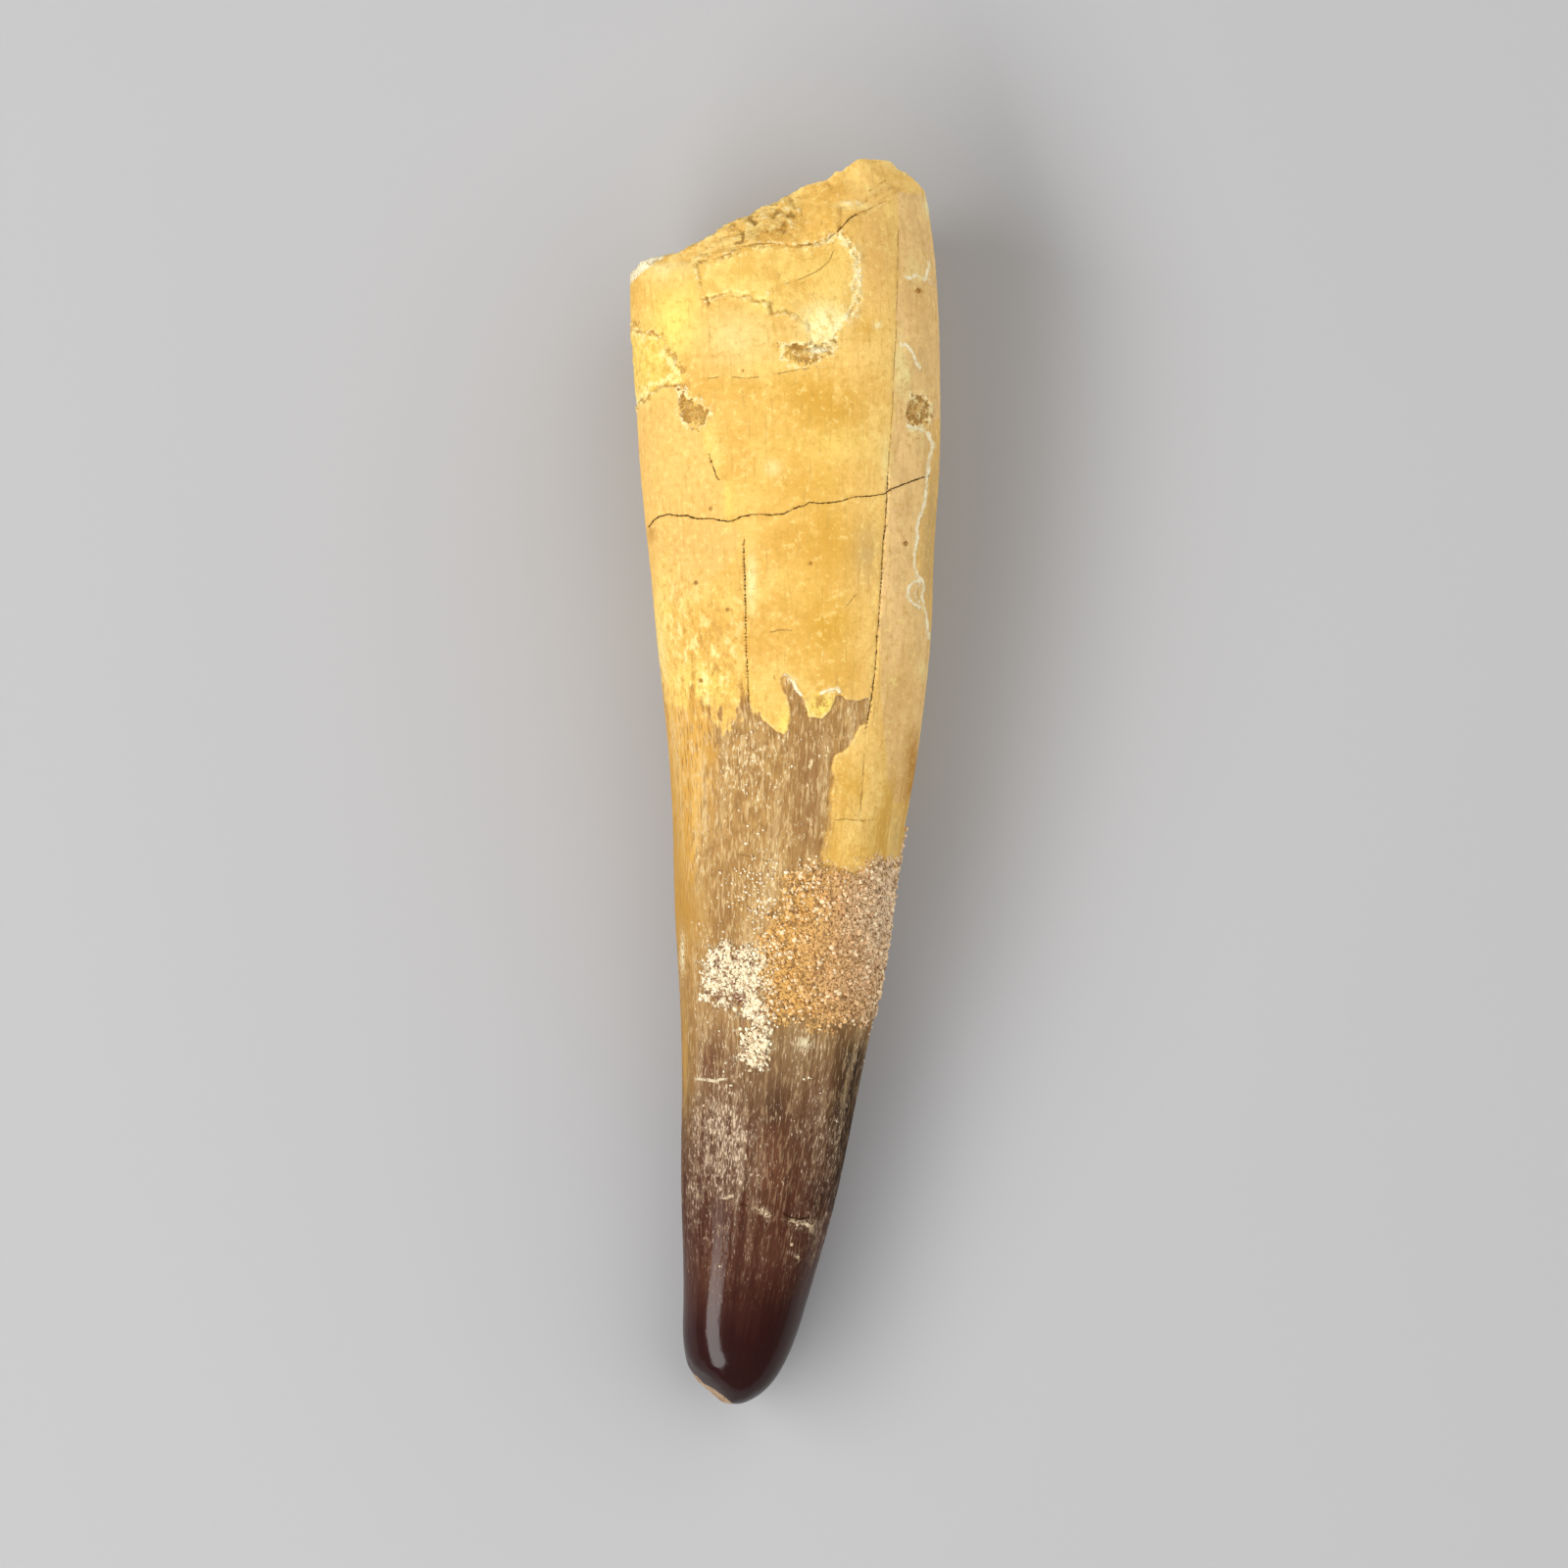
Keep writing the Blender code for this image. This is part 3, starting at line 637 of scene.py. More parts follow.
# %% Work the fields out
upper_share = ramp((facing[:, 2] + 0.25 + 0.3 * unevenness(place + 71, 4.0, 4)) / 0.3)
wobble = 0.24 * unevenness(place, 1.1) + 0.5 * unevenness(place + 31, 3.4)
ragged = 0.4 * unevenness(place + 17, 0.9)
LOOSE = ("brown zone", "sand crust", "pale crust")
RAGGED = ("spall", "flake", "pit", "pitted slope", "pale crust")
fields = {}


def both_sides(upper, belly):
    """The upper drawing's number or the belly's, whichever side a vertex is on."""
    return upper * upper_share + belly * (1 - upper_share)


plain_depth = {}
for name, sides in AREAS.items():
    plain_depth[name] = both_sides(deepest(place, sides["upper"]), deepest(place, sides["belly"]))
    looseness = 1.0 if name in LOOSE else 0.4
    fields[name] = plain_depth[name] + wobble * looseness + ragged * (name in RAGGED)
for name, sides in CRACKS.items():
    upper, upper_on = beside(place, sides["upper"])
    belly, belly_on = beside(place, sides["belly"])
    upper_on = upper_on * ramp(upper_share * 2 - 1)
    belly_on = belly_on * ramp(1 - upper_share * 2)
    fields[name] = np.where(upper_share > 0.5, upper, belly)
    fields[name + " on"] = np.where(upper_share > 0.5, upper_on, belly_on)
for name, patches in PATCHES.items():
    fields[name] = painted(place, patches) * upper_share
fields["dust"] = both_sides(fields["dust"], 0.5)
fields["broken"] = ramp((facing[:, 1] - 0.5) / 0.2) * ramp((place[:, 1] - 48) / 4)
print(len(fields), "fields")

# %% [markdown]
# ## Relief
# The solid already has the ledges, but with soft slopes about 1.7 mm wide. Adding the crisp
# ledge and taking the soft one away leaves the height as it was and makes its edge sharp. Real
# ledges are frayed, steep in one place and worn flat in the next, so their height varies. Cracks
# are narrow grooves.

# %% Ledges and grooves
LEDGES = {      # height, width of the solid's slope, width of the crisp one
    "spall": (-0.55, 1.6, 0.5),
    "flake": (-0.6, 1.7, 0.45),
    "pit": (-0.75, 1.7, 0.8),
    "root layer": (0.3, 1.8, 0.35),
    "sand crust": (0.45, 1.8, 1.0),
    "pale crust": (0.35, 1.6, 0.6),
}
relief = np.zeros(len(place))
frayed = 0.45 + 0.55 * ramp(unevenness(place + 53, 2.5, 2) * 1.6 + 0.5)
for name, (height, soft, crisp_width) in LEDGES.items():
    crisp_ledge = ramp(fields[name] / crisp_width + 0.5)
    soft_ledge = ramp(plain_depth[name] / soft + 0.5)
    sharpened = height * (frayed if name in RAGGED else 1) * (crisp_ledge - soft_ledge)
    if name == "root layer":        # on the left the layer thins out, without a ledge
        sharpened *= ramp((place[:, 0] + 4.5) / 3)
    relief += sharpened
relief -= 0.28 * ramp(fields["step"] / 0.5 + 0.5)
grooves = sum(
    depth * np.clip(1 - np.abs(fields[name]) / CRACK_HALF_WIDTH[name], 0, 1) * fields[name + " on"]
    for name, depth in CRACK_DEPTH.items()
)
print("grooves up to", grooves.max().round(2), "mm deep")

# %% [markdown]
# Enamel has striae, fine ridges along the crown, which come from noise that is stretched along
# the straightened tooth. The tip was polished smooth by wear, and under the crusts they don't
# show. The root layer is smoother, with long faint waves.

# %% Striae and waves
polished = ramp((-50 - place[:, 1]) / 8)
bare_enamel = ramp(0.5 - fields["root layer"] / 0.6) * (1 - fields["broken"])
on_crust = np.maximum(ramp(fields["sand crust"]), ramp(fields["pale crust"] * 1.5))
ridges = unevenness(straight * (1, 0.05, 1), 0.62, 2)
folds = unevenness(straight * (1, 0.03, 1), 2.2, 1)
relief += bare_enamel * (1 - on_crust) * (1 - 0.94 * polished) * (0.045 * ridges + 0.05 * folds)
waves = unevenness(straight * (1, 0.12, 1), 1.5, 2)
relief += (1 - bare_enamel) * (0.03 * waves + 0.03 * unevenness(place, 0.9, 2))
print("bare enamel:", round(bare_enamel.mean() * 100), "% of the vertices")

# %% [markdown]
# Broken, spalled and pitted places each have a roughness of their own: the same noise, finer or
# coarser and higher or lower. The pitted slope is cut only downwards, so its hollows stay apart.

# %% Rough places, then carve
grainy = unevenness(place, 0.5, 2)
relief += 0.13 * grainy * on_crust
relief += ramp(fields["spall"] * 2) * 0.13 * unevenness(place, 1.1, 4)
relief += ramp(fields["flake"] * 2) * 0.14 * unevenness(place, 1.0, 4)
relief += ramp(fields["pit"] * 2) * 0.3 * unevenness(place + 11, 0.8, 3)
relief -= 0.25 * ramp(plain_depth["pore"] / 0.3 + 0.5)
hollows = np.clip(unevenness(place + 7, 1.3, 3) - 0.05, 0, 1)
relief -= ramp(fields["pitted slope"]) * 0.9 * hollows
relief += ramp(fields["worn slope"]) * 0.14 * unevenness(place, 1.2, 4)
relief += fields["broken"] * (0.3 * unevenness(place, 2.6, 4) + 0.12 * grainy)

carved = place + facing * (relief - grooves)[:, None]
carved[:, 2] = np.maximum(carved[:, 2], 0)
mesh.vertices.foreach_set("co", (carved * MM).astype(np.float32).ravel())
mesh.shade_smooth()
mesh.update()
print("relief from", relief.min().round(2), "to", relief.max().round(2), "mm")

# %% [markdown]
# Shade is painted into the hollows, and highlights are painted on what stands up. Both go by how
# high each vertex stands over the mean of the skin around it.

# %% Find hollows and edges
MEAN_ROUNDS = 8
pairs = np.zeros(len(mesh.edges) * 2, np.int32)
mesh.edges.foreach_get("vertices", pairs)
one_end, other_end = pairs.reshape(-1, 2).T
neighbours = np.bincount(pairs, minlength=len(place))
mean_relief = relief.copy()
for _ in range(MEAN_ROUNDS):
    summed = np.bincount(one_end, mean_relief[other_end], len(place))
    summed += np.bincount(other_end, mean_relief[one_end], len(place))
    mean_relief = (mean_relief + summed / neighbours) / 2
fields["standing"] = relief - mean_relief
print("standing out by", np.percentile(fields["standing"], (1, 10, 90, 99)).round(3), "mm")

# %% [markdown]
# A material can't read Python's arrays, but it can read a mesh's attributes, so every field is
# stored as one. The finished skin then takes the solid's place.

# %% Store the fields on the mesh
for name, values in fields.items():
    layer = mesh.attributes.new(name, "FLOAT", "POINT")
    layer.data.foreach_set("value", values.astype(np.float32))
layer = mesh.attributes.new("straight", "FLOAT_VECTOR", "POINT")
layer.data.foreach_set("vector", straight.astype(np.float32).ravel())

tooth = bpy.data.objects.new("fossil_tooth", mesh)
bpy.context.scene.collection.objects.link(tooth)
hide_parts("tooth")
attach(tooth, "root")
print(len(mesh.attributes), "attributes")

# %% [markdown]
# ## A small language for materials
# Node trees are hard to read in code. Wrapping a socket in a class with + - * / lets the
# patterns below be written as sums. Every other node comes from `node`, which sets the node's
# settings first and its sockets after, since some settings change which sockets there are.

# %% The Sock class
class Sock:
    """An output socket that can be used in sums."""

    def __init__(self, socket):
        self.socket = socket

    def __add__(self, other):
        return node("Math", {"operation": "ADD"}, {0: self, 1: other})

    def __sub__(self, other):
        return node("Math", {"operation": "SUBTRACT"}, {0: self, 1: other})

    def __rsub__(self, other):
        return node("Math", {"operation": "SUBTRACT"}, {0: other, 1: self})

    def __mul__(self, other):
        return node("Math", {"operation": "MULTIPLY"}, {0: self, 1: other})

    def __truediv__(self, other):
        return node("Math", {"operation": "DIVIDE"}, {0: self, 1: other})

    def __abs__(self):
        return node("Math", {"operation": "ABSOLUTE"}, {0: self})

    __radd__, __rmul__ = __add__, __mul__


def node(kind, settings=None, sockets=None, out=0):
    """Adds a node to the material in hand and returns one of its outputs."""
    made = material.node_tree.nodes.new("ShaderNode" + kind)
    for key, value in (settings or {}).items():
        if key == "stops":
            ends = made.color_ramp.elements
            while len(ends) < len(value):
                ends.new(1.0)
            for stop, (at, colour) in zip(ends, value):
                stop.position, stop.color = at, (*colour, 1)
        else:
            setattr(made, key, value)
    for key, value in (sockets or {}).items():
        if isinstance(value, Sock):
            material.node_tree.links.new(value.socket, made.inputs[key])
        else:
            made.inputs[key].default_value = value
    return Sock(made.outputs[out])


# %% [markdown]
# The patterns below are built from a few words: `field` reads what was stored on the mesh, `step`
# turns a number into a mask, `grain` is noise of a given size in millimetres, and `layered` lays
# colours over each other from the bottom up, as glazes of paint.

# %% Words for patterns
def field(name):
    """A field that was stored on the mesh."""
    return node("Attribute", {"attribute_name": name}, out="Fac")


def step(value, start, end):
    """0 below start, 1 above end, smooth between them."""
    return node("MapRange", {"interpolation_type": "SMOOTHSTEP"}, {0: value, 1: start, 2: end})


def larger(a, b):
    """Whichever of two values is the larger."""
    return node("Math", {"operation": "MAXIMUM"}, {0: a, 1: b})


def mix(share, a, b):
    """Colour a where share is 0, colour b where it is 1."""
    return node("Mix", {"data_type": "RGBA"}, {0: share, 6: rgba(a), 7: rgba(b)}, out=2)


def layered(colour, layers):
    """Lays colours over a first one; each layer is its share and its colour."""
    for share, tint in layers:
        colour = mix(share, colour, tint)
    return colour


def rgba(colour):
    """A colour as a socket takes it."""
    return colour if isinstance(colour, Sock) else (*colour, 1)


def grain(where, size, detail=2.0, squeeze=(1, 1, 1), rough=0.5):
    """Noise between 0 and 1 around 0.5, in lumps of this size in mm; squeeze below 1 draws them out."""
    at = node("VectorMath", {"operation": "MULTIPLY"}, {0: where, 1: tuple(s / size for s in squeeze)})
    return node("TexNoise", {}, {"Vector": at, "Scale": 1.0, "Detail": detail, "Roughness": rough})


def place_in_mm():
    """The place on the piece, in millimetres."""
    at = node("TexCoord", {}, {}, out="Object")
    return node("VectorMath", {"operation": "SCALE"}, {0: at, "Scale": 1 / MM})


def axis_of(where, axis):
    """One number of a place: its X, Y or Z."""
    return node("SeparateXYZ", {}, {0: where}, out=axis)


# %% [markdown]
# ## The fossil's material
# Colours are mixed from the bottom layer up, in the order in which they lie on the real tooth:
# enamel, the root layer over it, worn and broken places, cracks, and crust on top. `here` is the
# place in millimetres, and `along` is the straightened place, for everything that is streaked.

# %% Start the material
material = bpy.data.materials.new("fossil")
material.use_nodes = True
shader = material.node_tree.nodes["Principled BSDF"]
here = place_in_mm()
along = node("Attribute", {"attribute_name": "straight"}, out="Vector")
place_x = axis_of(here, "X")
place_y = axis_of(here, "Y")

fine = grain(here, 0.35, 3)
medium = grain(here, 1.6, 3, rough=0.65)
broad = grain(here, 7.0, 2)
print("patterns:", len(material.node_tree.nodes), "nodes")

# %% [markdown]
# ### Enamel
# The crown goes from grey-brown through dark brown to nearly black red at the tip. A colour ramp
# along Y gives that change, nudged by broad noise, and the painted tones lie on it.

# %% Enamel colours
streak = grain(along, 0.34, 2, (1, 0.2, 1))
thin_streak = grain(along, 0.2, 1, (1, 0.12, 1))
wide_streak = grain(along, 2.0, 3, (1, 0.08, 1), 0.6)
flecks = grain(along, 0.2, 3, (1, 0.28, 1), 0.6)
matt = step(place_y + (medium - 0.5) * 8, -61.0, -43.0)
crown_y = (place_y + (broad - 0.5) * 8 + (wide_streak - 0.5) * 16 + 72) / 90
crown = node("ValToRGB", {"stops": [
    (0.00, (0.012, 0.001, 0.001)),
    (0.11, (0.022, 0.002, 0.001)),
    (0.17, (0.045, 0.010, 0.005)),
    (0.27, (0.075, 0.024, 0.013)),
    (0.36, (0.110, 0.050, 0.027)),
    (0.46, (0.230, 0.125, 0.058)),
    (0.55, (0.380, 0.225, 0.095)),
    (0.72, (0.500, 0.290, 0.090)),
]}, {0: crown_y})
for name, colour in (
    ("red brown", (0.135, 0.052, 0.026)),
    ("olive", (0.270, 0.165, 0.075)),
    ("gold edge", (0.430, 0.260, 0.080)),
    ("dark", (0.026, 0.013, 0.009)),
):
    crown = mix(field(name) * (0.55 + medium * 0.7), crown, colour)

# %% [markdown]
# Under the root layer the bare enamel is lighter: brown where it is covered with fine strokes, and
# golden towards the left edge.

# %% Bare enamel under the root layer
brown = mix(step(medium, 0.35, 0.65), (0.37, 0.200, 0.066), (0.50, 0.290, 0.098))
golden_side = mix(step(wide_streak, 0.35, 0.65), (0.58, 0.300, 0.060), (0.74, 0.430, 0.100))
fading = step(place_y + (wide_streak - 0.5) * 14, -6.0, -20.0)
golden_side = mix(fading, golden_side, (0.38, 0.210, 0.068))
in_brown = step(field("brown zone") + (wide_streak - 0.5) * 6, -1.0, 1.0)
upper_crown = mix(in_brown, golden_side, brown)
upper_crown = mix(field("mauve") * (0.5 + medium * 0.6), upper_crown, (0.33, 0.175, 0.062))
crown = mix(step(place_y + (wide_streak - 0.5) * 12, -32.0, -20.0), crown, upper_crown)
above_dark = step(place_y, -50.0, -10.0)
light_stroke = mix(above_dark, (0.34, 0.21, 0.12), (0.80, 0.58, 0.28))
dark_stroke = mix(above_dark, (0.030, 0.013, 0.008), (0.27, 0.135, 0.045))

# %% [markdown]
# Short light and dark strokes run along the whole crown, in three widths. Pale dust sits in the
# striae, in clumps. The tip is worn clean of both.

# %% Strokes and dust
crown = layered(crown, [
    (step(wide_streak, 0.52, 0.68) * 0.35 * matt, light_stroke),
    (step(wide_streak, 0.46, 0.32) * 0.4 * matt, dark_stroke),
    (step(streak, 0.52, 0.66) * 0.5 * matt, light_stroke),
    (step(thin_streak, 0.46, 0.34) * 0.6 * (matt * 0.7 + 0.3), dark_stroke),
])
clumped = (medium - 0.5) * 0.35 + (wide_streak - 0.5) * 0.35
dust_bed = field("dust") * step(clumped, -0.06, 0.06) * 0.4 * matt * (1 - above_dark)
dusty = step(flecks + field("dust") * 0.10 + clumped, 0.60, 0.72) * matt
crown = layered(crown, [
    (dust_bed, (0.42, 0.30, 0.200)),
    (dusty * 0.85, mix(above_dark, (0.68, 0.51, 0.36), (0.88, 0.68, 0.38))),
    (field("gold edge") * step(wide_streak, 0.3, 0.6) * 0.75, (0.48, 0.255, 0.050)),
])
print("with the enamel:", len(material.node_tree.nodes), "nodes")

# %% [markdown]
# ### Root layer
# A smooth, warm yellow, cloudy at several sizes. The strip at the right is greyer, and the thin
# layers at both edges are peach.

# %% Root colours
mottle_wide = grain(along, 2.4, 4, (1, 0.5, 1), 0.65)
on_strip = step(field("grey strip"), -0.15, 0.25)
root = layered(mix(step(broad, 0.3, 0.7), (0.73, 0.410, 0.090), (0.87, 0.555, 0.145)), [
    (step(medium, 0.42, 0.68) * 0.5, (0.87, 0.57, 0.150)),
    (step(place_x + (broad - 0.5) * 6, 4.0, 10.0) * 0.5, (0.92, 0.620, 0.220)),
    (step(mottle_wide, 0.50, 0.68) * 0.35, (0.66, 0.38, 0.070)),
    (step(mottle_wide, 0.46, 0.30) * 0.30, (0.96, 0.70, 0.220)),
    (on_strip * 0.85, (0.88, 0.59, 0.265)),
    (step(field("peach layer"), -0.15, 0.2) * 0.8, (0.83, 0.51, 0.150)),
    (on_strip * step(mottle_wide, 0.46, 0.62) * 0.4, (0.62, 0.40, 0.170)),
])

# %% [markdown]
# The painted patches would look airbrushed by themselves, so each is broken up by the same clouds
# as the rest. A fine mottle, faint lines along the root and pores go over them.

# %% Patches and mottle
cloud = 0.5 + medium
for name, tint in (
    ("peach", (0.68, 0.40, 0.120)),
    ("ochre", (0.66, 0.36, 0.050)),
    ("grey", (0.54, 0.36, 0.140)),
    ("lemon", (0.88, 0.71, 0.160)),
    ("cream", (0.90, 0.76, 0.330)),
    ("orange", (0.48, 0.22, 0.040)),
):
    root = mix(field(name) * cloud * step(mottle_wide, 0.28, 0.50), root, tint)
mottle = grain(here, 0.75, 4, rough=0.7)
faint_lines = grain(along, 0.24, 2, (1, 0.06, 1))
root = layered(root, [
    (step(mottle, 0.52, 0.66) * 0.5, (0.60, 0.345, 0.065)),
    (step(mottle, 0.46, 0.34) * 0.5, (0.94, 0.73, 0.250)),
    (step(faint_lines, 0.56, 0.72) * 0.35, (0.50, 0.29, 0.070)),
    (step(fine, 0.66, 0.76) * 0.55, (0.38, 0.20, 0.050)),
])

# %% [markdown]
# Near its border the layer crumbles into cream and brown blotches. At the right a tongue of it
# reaches down the crown, streaked like the enamel that shines through it.

# %% Crumbling places and the tongue
blotch = grain(along, 0.9, 4, (1, 0.45, 1), 0.7)
tongue = step(place_y + (medium - 0.5) * 8, 4.0, -3.0) * step(place_x, 3.0, 5.0)
root = layered(root, [
    (field("crumbling") * step(blotch, 0.53, 0.62) * 0.8, (0.94, 0.78, 0.330)),
    (field("crumbling") * step(blotch, 0.46, 0.38) * 0.75, (0.50, 0.27, 0.060)),
    (field("crumbling") * step(mottle, 0.54, 0.66) * 0.5, (0.48, 0.24, 0.050)),
    (tongue * step(wide_streak, 0.44, 0.60) * 0.75, (0.62, 0.340, 0.060)),
    (tongue * step(streak, 0.52, 0.66) * 0.4, (0.90, 0.640, 0.200)),
])
print("with the root layer:", len(material.node_tree.nodes), "nodes")

# %% [markdown]
# The layer ends in a crisp ledge at the right. At the left it is worn through in streaks and
# blotches, so there the border is pushed about by noise.

# %% Root layer over the enamel
thinning = step(place_x + (medium - 0.5) * 3, -1.5, -4.5)
worn_through = ((wide_streak - 0.5) * 16 + (medium - 0.5) * 12 + (streak - 0.5) * 6) * thinning
border = field("root layer") + (fine - 0.5) * 0.5 + worn_through + (medium - 0.5) * 3 * tongue
on_root = step(border / (thinning * 1.2 + tongue * 0.7 + 0.06), -1.0, 1.0)
colour = mix(on_root, crown, root)

# %% [markdown]
# ### Broken and worn places
# The spall shows a slightly paler, rougher layer. Its edge gets a cream rim inside it, wide at the
# right, which is a painted highlight on the crumbling lip, and a thin brown one just outside it,
# which is painted shade along the ledge. A rim is the set of places at one depth inside an outline,
# so the drawing of the area gives it for nothing.

# %% Spall
def rim(name, depth, half_width):
    """1 where the depth inside an area is near this one, with a ragged edge."""
    depth_here = field(name) + (fine - 0.5) + (mottle - 0.5) * 2.0
    return step(abs(depth_here - depth), half_width, half_width * 0.3)


in_spall = step(field("spall") + (fine - 0.5) * 0.5, -0.1, 0.2)
rough_yellow = mix(step(medium, 0.38, 0.62), (0.72, 0.45, 0.100), (0.90, 0.65, 0.185))
spall_cream = in_spall * field("cream") * (0.25 + step(mottle, 0.40, 0.54) * 0.6)
right_side = step(place_x + (medium - 0.5) * 8, 1.5, 4.5)
colour = layered(colour, [
    (in_spall * 0.5, rough_yellow),
    (spall_cream, (0.96, 0.86, 0.42)),
    # the cream rims are painted highlights on the lip, the brown rim is painted shade along the ledge
    (rim("spall", 0.35, 0.45) * right_side * step(mottle, 0.36, 0.50) * 0.85, (0.97, 0.87, 0.47)),
    (rim("spall", 0.5, 0.5) * (1 - right_side) * step(medium, 0.46, 0.60) * 0.6, (0.96, 0.78, 0.30)),
    (rim("spall", -0.15, 0.2) * step(medium, 0.47, 0.62) * 0.55, (0.50, 0.26, 0.055)),
])

# %% [markdown]
# The flake scar has the same two rims: the cream one inside is a painted highlight, the brown one
# outside is painted shade. A cream rim round each pit is a painted highlight on its lip. The hollow
# of the slope is spotted with brown and cream, and the pits and pores are darkened with brown.

# %% Flake scar, slope, pits and pores
in_flake = step(field("flake") + (fine - 0.5) * 0.5, -0.1, 0.2)
slope = step(field("pitted slope") + (fine - 0.5) * 0.6, -0.4, 0.8)
in_pit = step(field("pit") + (mottle - 0.5) * 5 + (fine - 0.5) * 1.2, -0.1, 0.4)
in_pore = step(field("pore"), -0.12, 0.1)
colour = layered(colour, [
    (in_flake * 0.5, mix(step(mottle, 0.4, 0.6), (0.90, 0.70, 0.165), (0.70, 0.44, 0.080))),
    (slope * step(mottle, 0.50, 0.64) * 0.8, (0.60, 0.320, 0.060)),
    (slope * step(mottle, 0.46, 0.36) * 0.6, (0.96, 0.74, 0.260)),
    # cream rims are painted highlights on the lips, the brown rim is painted shade along the ledge
    (rim("flake", 0.55, 0.5) * step(medium, 0.40, 0.54) * 0.6, (0.97, 0.86, 0.400)),
    (rim("flake", -0.1, 0.26) * step(medium, 0.36, 0.50) * 0.85, (0.44, 0.225, 0.045)),
    (rim("pit", -0.4, 0.4) * step(medium, 0.44, 0.60) * 0.7, (0.97, 0.84, 0.460)),
    (in_pit * 0.55, (0.68, 0.41, 0.115)),
    (in_pit * step(mottle, 0.47, 0.58) * 0.75, (0.36, 0.175, 0.035)),
    (in_pore * step(fine, 0.36, 0.46) * 0.85, (0.240, 0.110, 0.025)),
])

# %% [markdown]
# The face of the break is sandy gold, lightened beyond its own colour as painted light, because it
# faces away from the lamps. The chip at the root's corner is chalky cream with brown specks, and
# the chip at the tip shows the grey-brown inside of the enamel.

# %% Break and chips
# painted light: the break is lighter than its own gold, since it faces away from the lamps
break_gold_with_painted_light = mix(step(medium, 0.38, 0.62), (0.86, 0.52, 0.130), (0.98, 0.71, 0.240))
break_gold_with_painted_light = mix(step(fine, 0.58, 0.70) * 0.6, break_gold_with_painted_light, (0.50, 0.27, 0.070))
corner_colour = mix(step(fine, 0.5, 0.6), (0.90, 0.82, 0.56), (0.60, 0.42, 0.190))
on_tip_chip = step(field("tip chip"), -0.1, 0.05)
colour = layered(colour, [
    (field("broken"), break_gold_with_painted_light),
    (step(field("corner chip"), -0.15, 0.1), corner_colour),
    (on_tip_chip, mix(step(fine, 0.45, 0.6), (0.42, 0.31, 0.200), (0.26, 0.16, 0.090))),
])

# %% [markdown]
# Chalky crumbs lie here and there. Then painted shade darkens the hollows of the fine relief, and
# painted highlights brighten what stands out, on the root and the enamel in their own tones.

# %% Chalk, painted shade and painted highlights
chalky = field("chalk") * step(fine + field("chalk") * 0.12, 0.50, 0.58)
# painted shade in the hollows of the relief, and painted highlights on what stands out
painted_shade_in_hollows = step(field("standing"), -0.020, -0.110) * step(medium, 0.34, 0.50)
painted_highlight_on_edges = step(field("standing"), 0.025, 0.110) * matt * step(fine, 0.42, 0.56)
colour = layered(colour, [
    (chalky * 0.9, mix(above_dark, (0.56, 0.42, 0.26), (0.92, 0.82, 0.52))),
    (painted_shade_in_hollows * 0.7, mix(on_root, dark_stroke, (0.420, 0.225, 0.050))),
    (painted_highlight_on_edges * 0.6, mix(on_root, light_stroke, (0.960, 0.840, 0.460))),
])
print("with damage and dirt:", len(material.node_tree.nodes), "nodes")

# %% [markdown]
# ### Cracks and pale lines
# The groove is real, but too narrow to look dark by itself, so the material darkens its bottom.
# Noise lets each line wander a little and breaks it up, a pale line most of all.

# %% Cracks
wander = (grain(here, 0.8, 4, rough=0.75) - 0.5) * 0.4


def line_mask(name, half_width, wandering=1.0):
    """1 on the line itself, 0 beside it; wandering above 1 makes it more ragged."""
    from_line = abs(field(name) + wander * wandering) + (medium - 0.5) * half_width
    return step(from_line, half_width, half_width * 0.4) * step(field(name + " on"), 0.05, 0.5)


crack_across = line_mask("crack across", 0.08) * (0.4 + step(medium, 0.36, 0.52) * 0.6)
crack_along = line_mask("crack along", 0.075) * step(fine, 0.43, 0.55)
hairline = line_mask("hairline", 0.09) * step(medium, 0.40, 0.55)
pale_line = line_mask("pale line", 0.23, 2.2) * (0.3 + step(mottle, 0.38, 0.52) * 0.7)
colour = layered(colour, [
    (crack_across * 0.95, (0.075, 0.028, 0.007)),
    (crack_along * 0.85, (0.150, 0.070, 0.016)),
    (hairline * 0.65, (0.300, 0.150, 0.035)),
    (pale_line * 0.9, mix(above_dark, (0.60, 0.46, 0.30), (0.99, 0.90, 0.60))),
])

# %% [markdown]
# ### Crust
# Sand is stuck to the tooth below the root layer, orange in the middle, pinkish and then beige
# towards the right edge. Its grains are pieces of their own further down. This is the ground that
# they lie on.

# %% Crust ground
def sand_tint(x, shift):
    """The sand's middle colour, by place; shift makes its borders uneven."""
    warm = mix(step(x + shift, 1.0, 8.0), (0.80, 0.46, 0.135), (0.76, 0.46, 0.215))
    return mix(step(x + shift, 6.0, 12.5), warm, (0.88, 0.66, 0.430))


speck = grain(here, 0.3, 2, rough=0.7)
in_sand = step(field("sand crust") + (medium - 0.5) * 9 + (fine - 0.5) * 5, -0.8, 1.2)
sand = mix(step(speck, 0.38, 0.54), (0.28, 0.135, 0.048), sand_tint(place_x, (broad - 0.5) * 8))
in_pale = step(field("pale crust") + (medium - 0.5) * 7 + (fine - 0.5) * 4, -0.3, 0.9)
pale = mix(step(speck, 0.44, 0.53), (0.22, 0.11, 0.055), (0.94, 0.83, 0.56))
pale = mix(step(mottle, 0.53, 0.60) * 0.8, pale, (0.30, 0.15, 0.080))
colour = layered(colour, [
    (in_sand * 0.92, sand),
    (in_pale * 0.95, pale),
    (field("rust") * step(fine, 0.40, 0.52) * 0.9, (0.170, 0.055, 0.040)),
])
print("with the crust:", len(material.node_tree.nodes), "nodes")

# %% [markdown]
# ### Gloss and fine relief
# Enamel near the tip is polished and everything else is dull. The bump adds what is finer than
# the faces: striae, grain and the crack's sharp bottom.

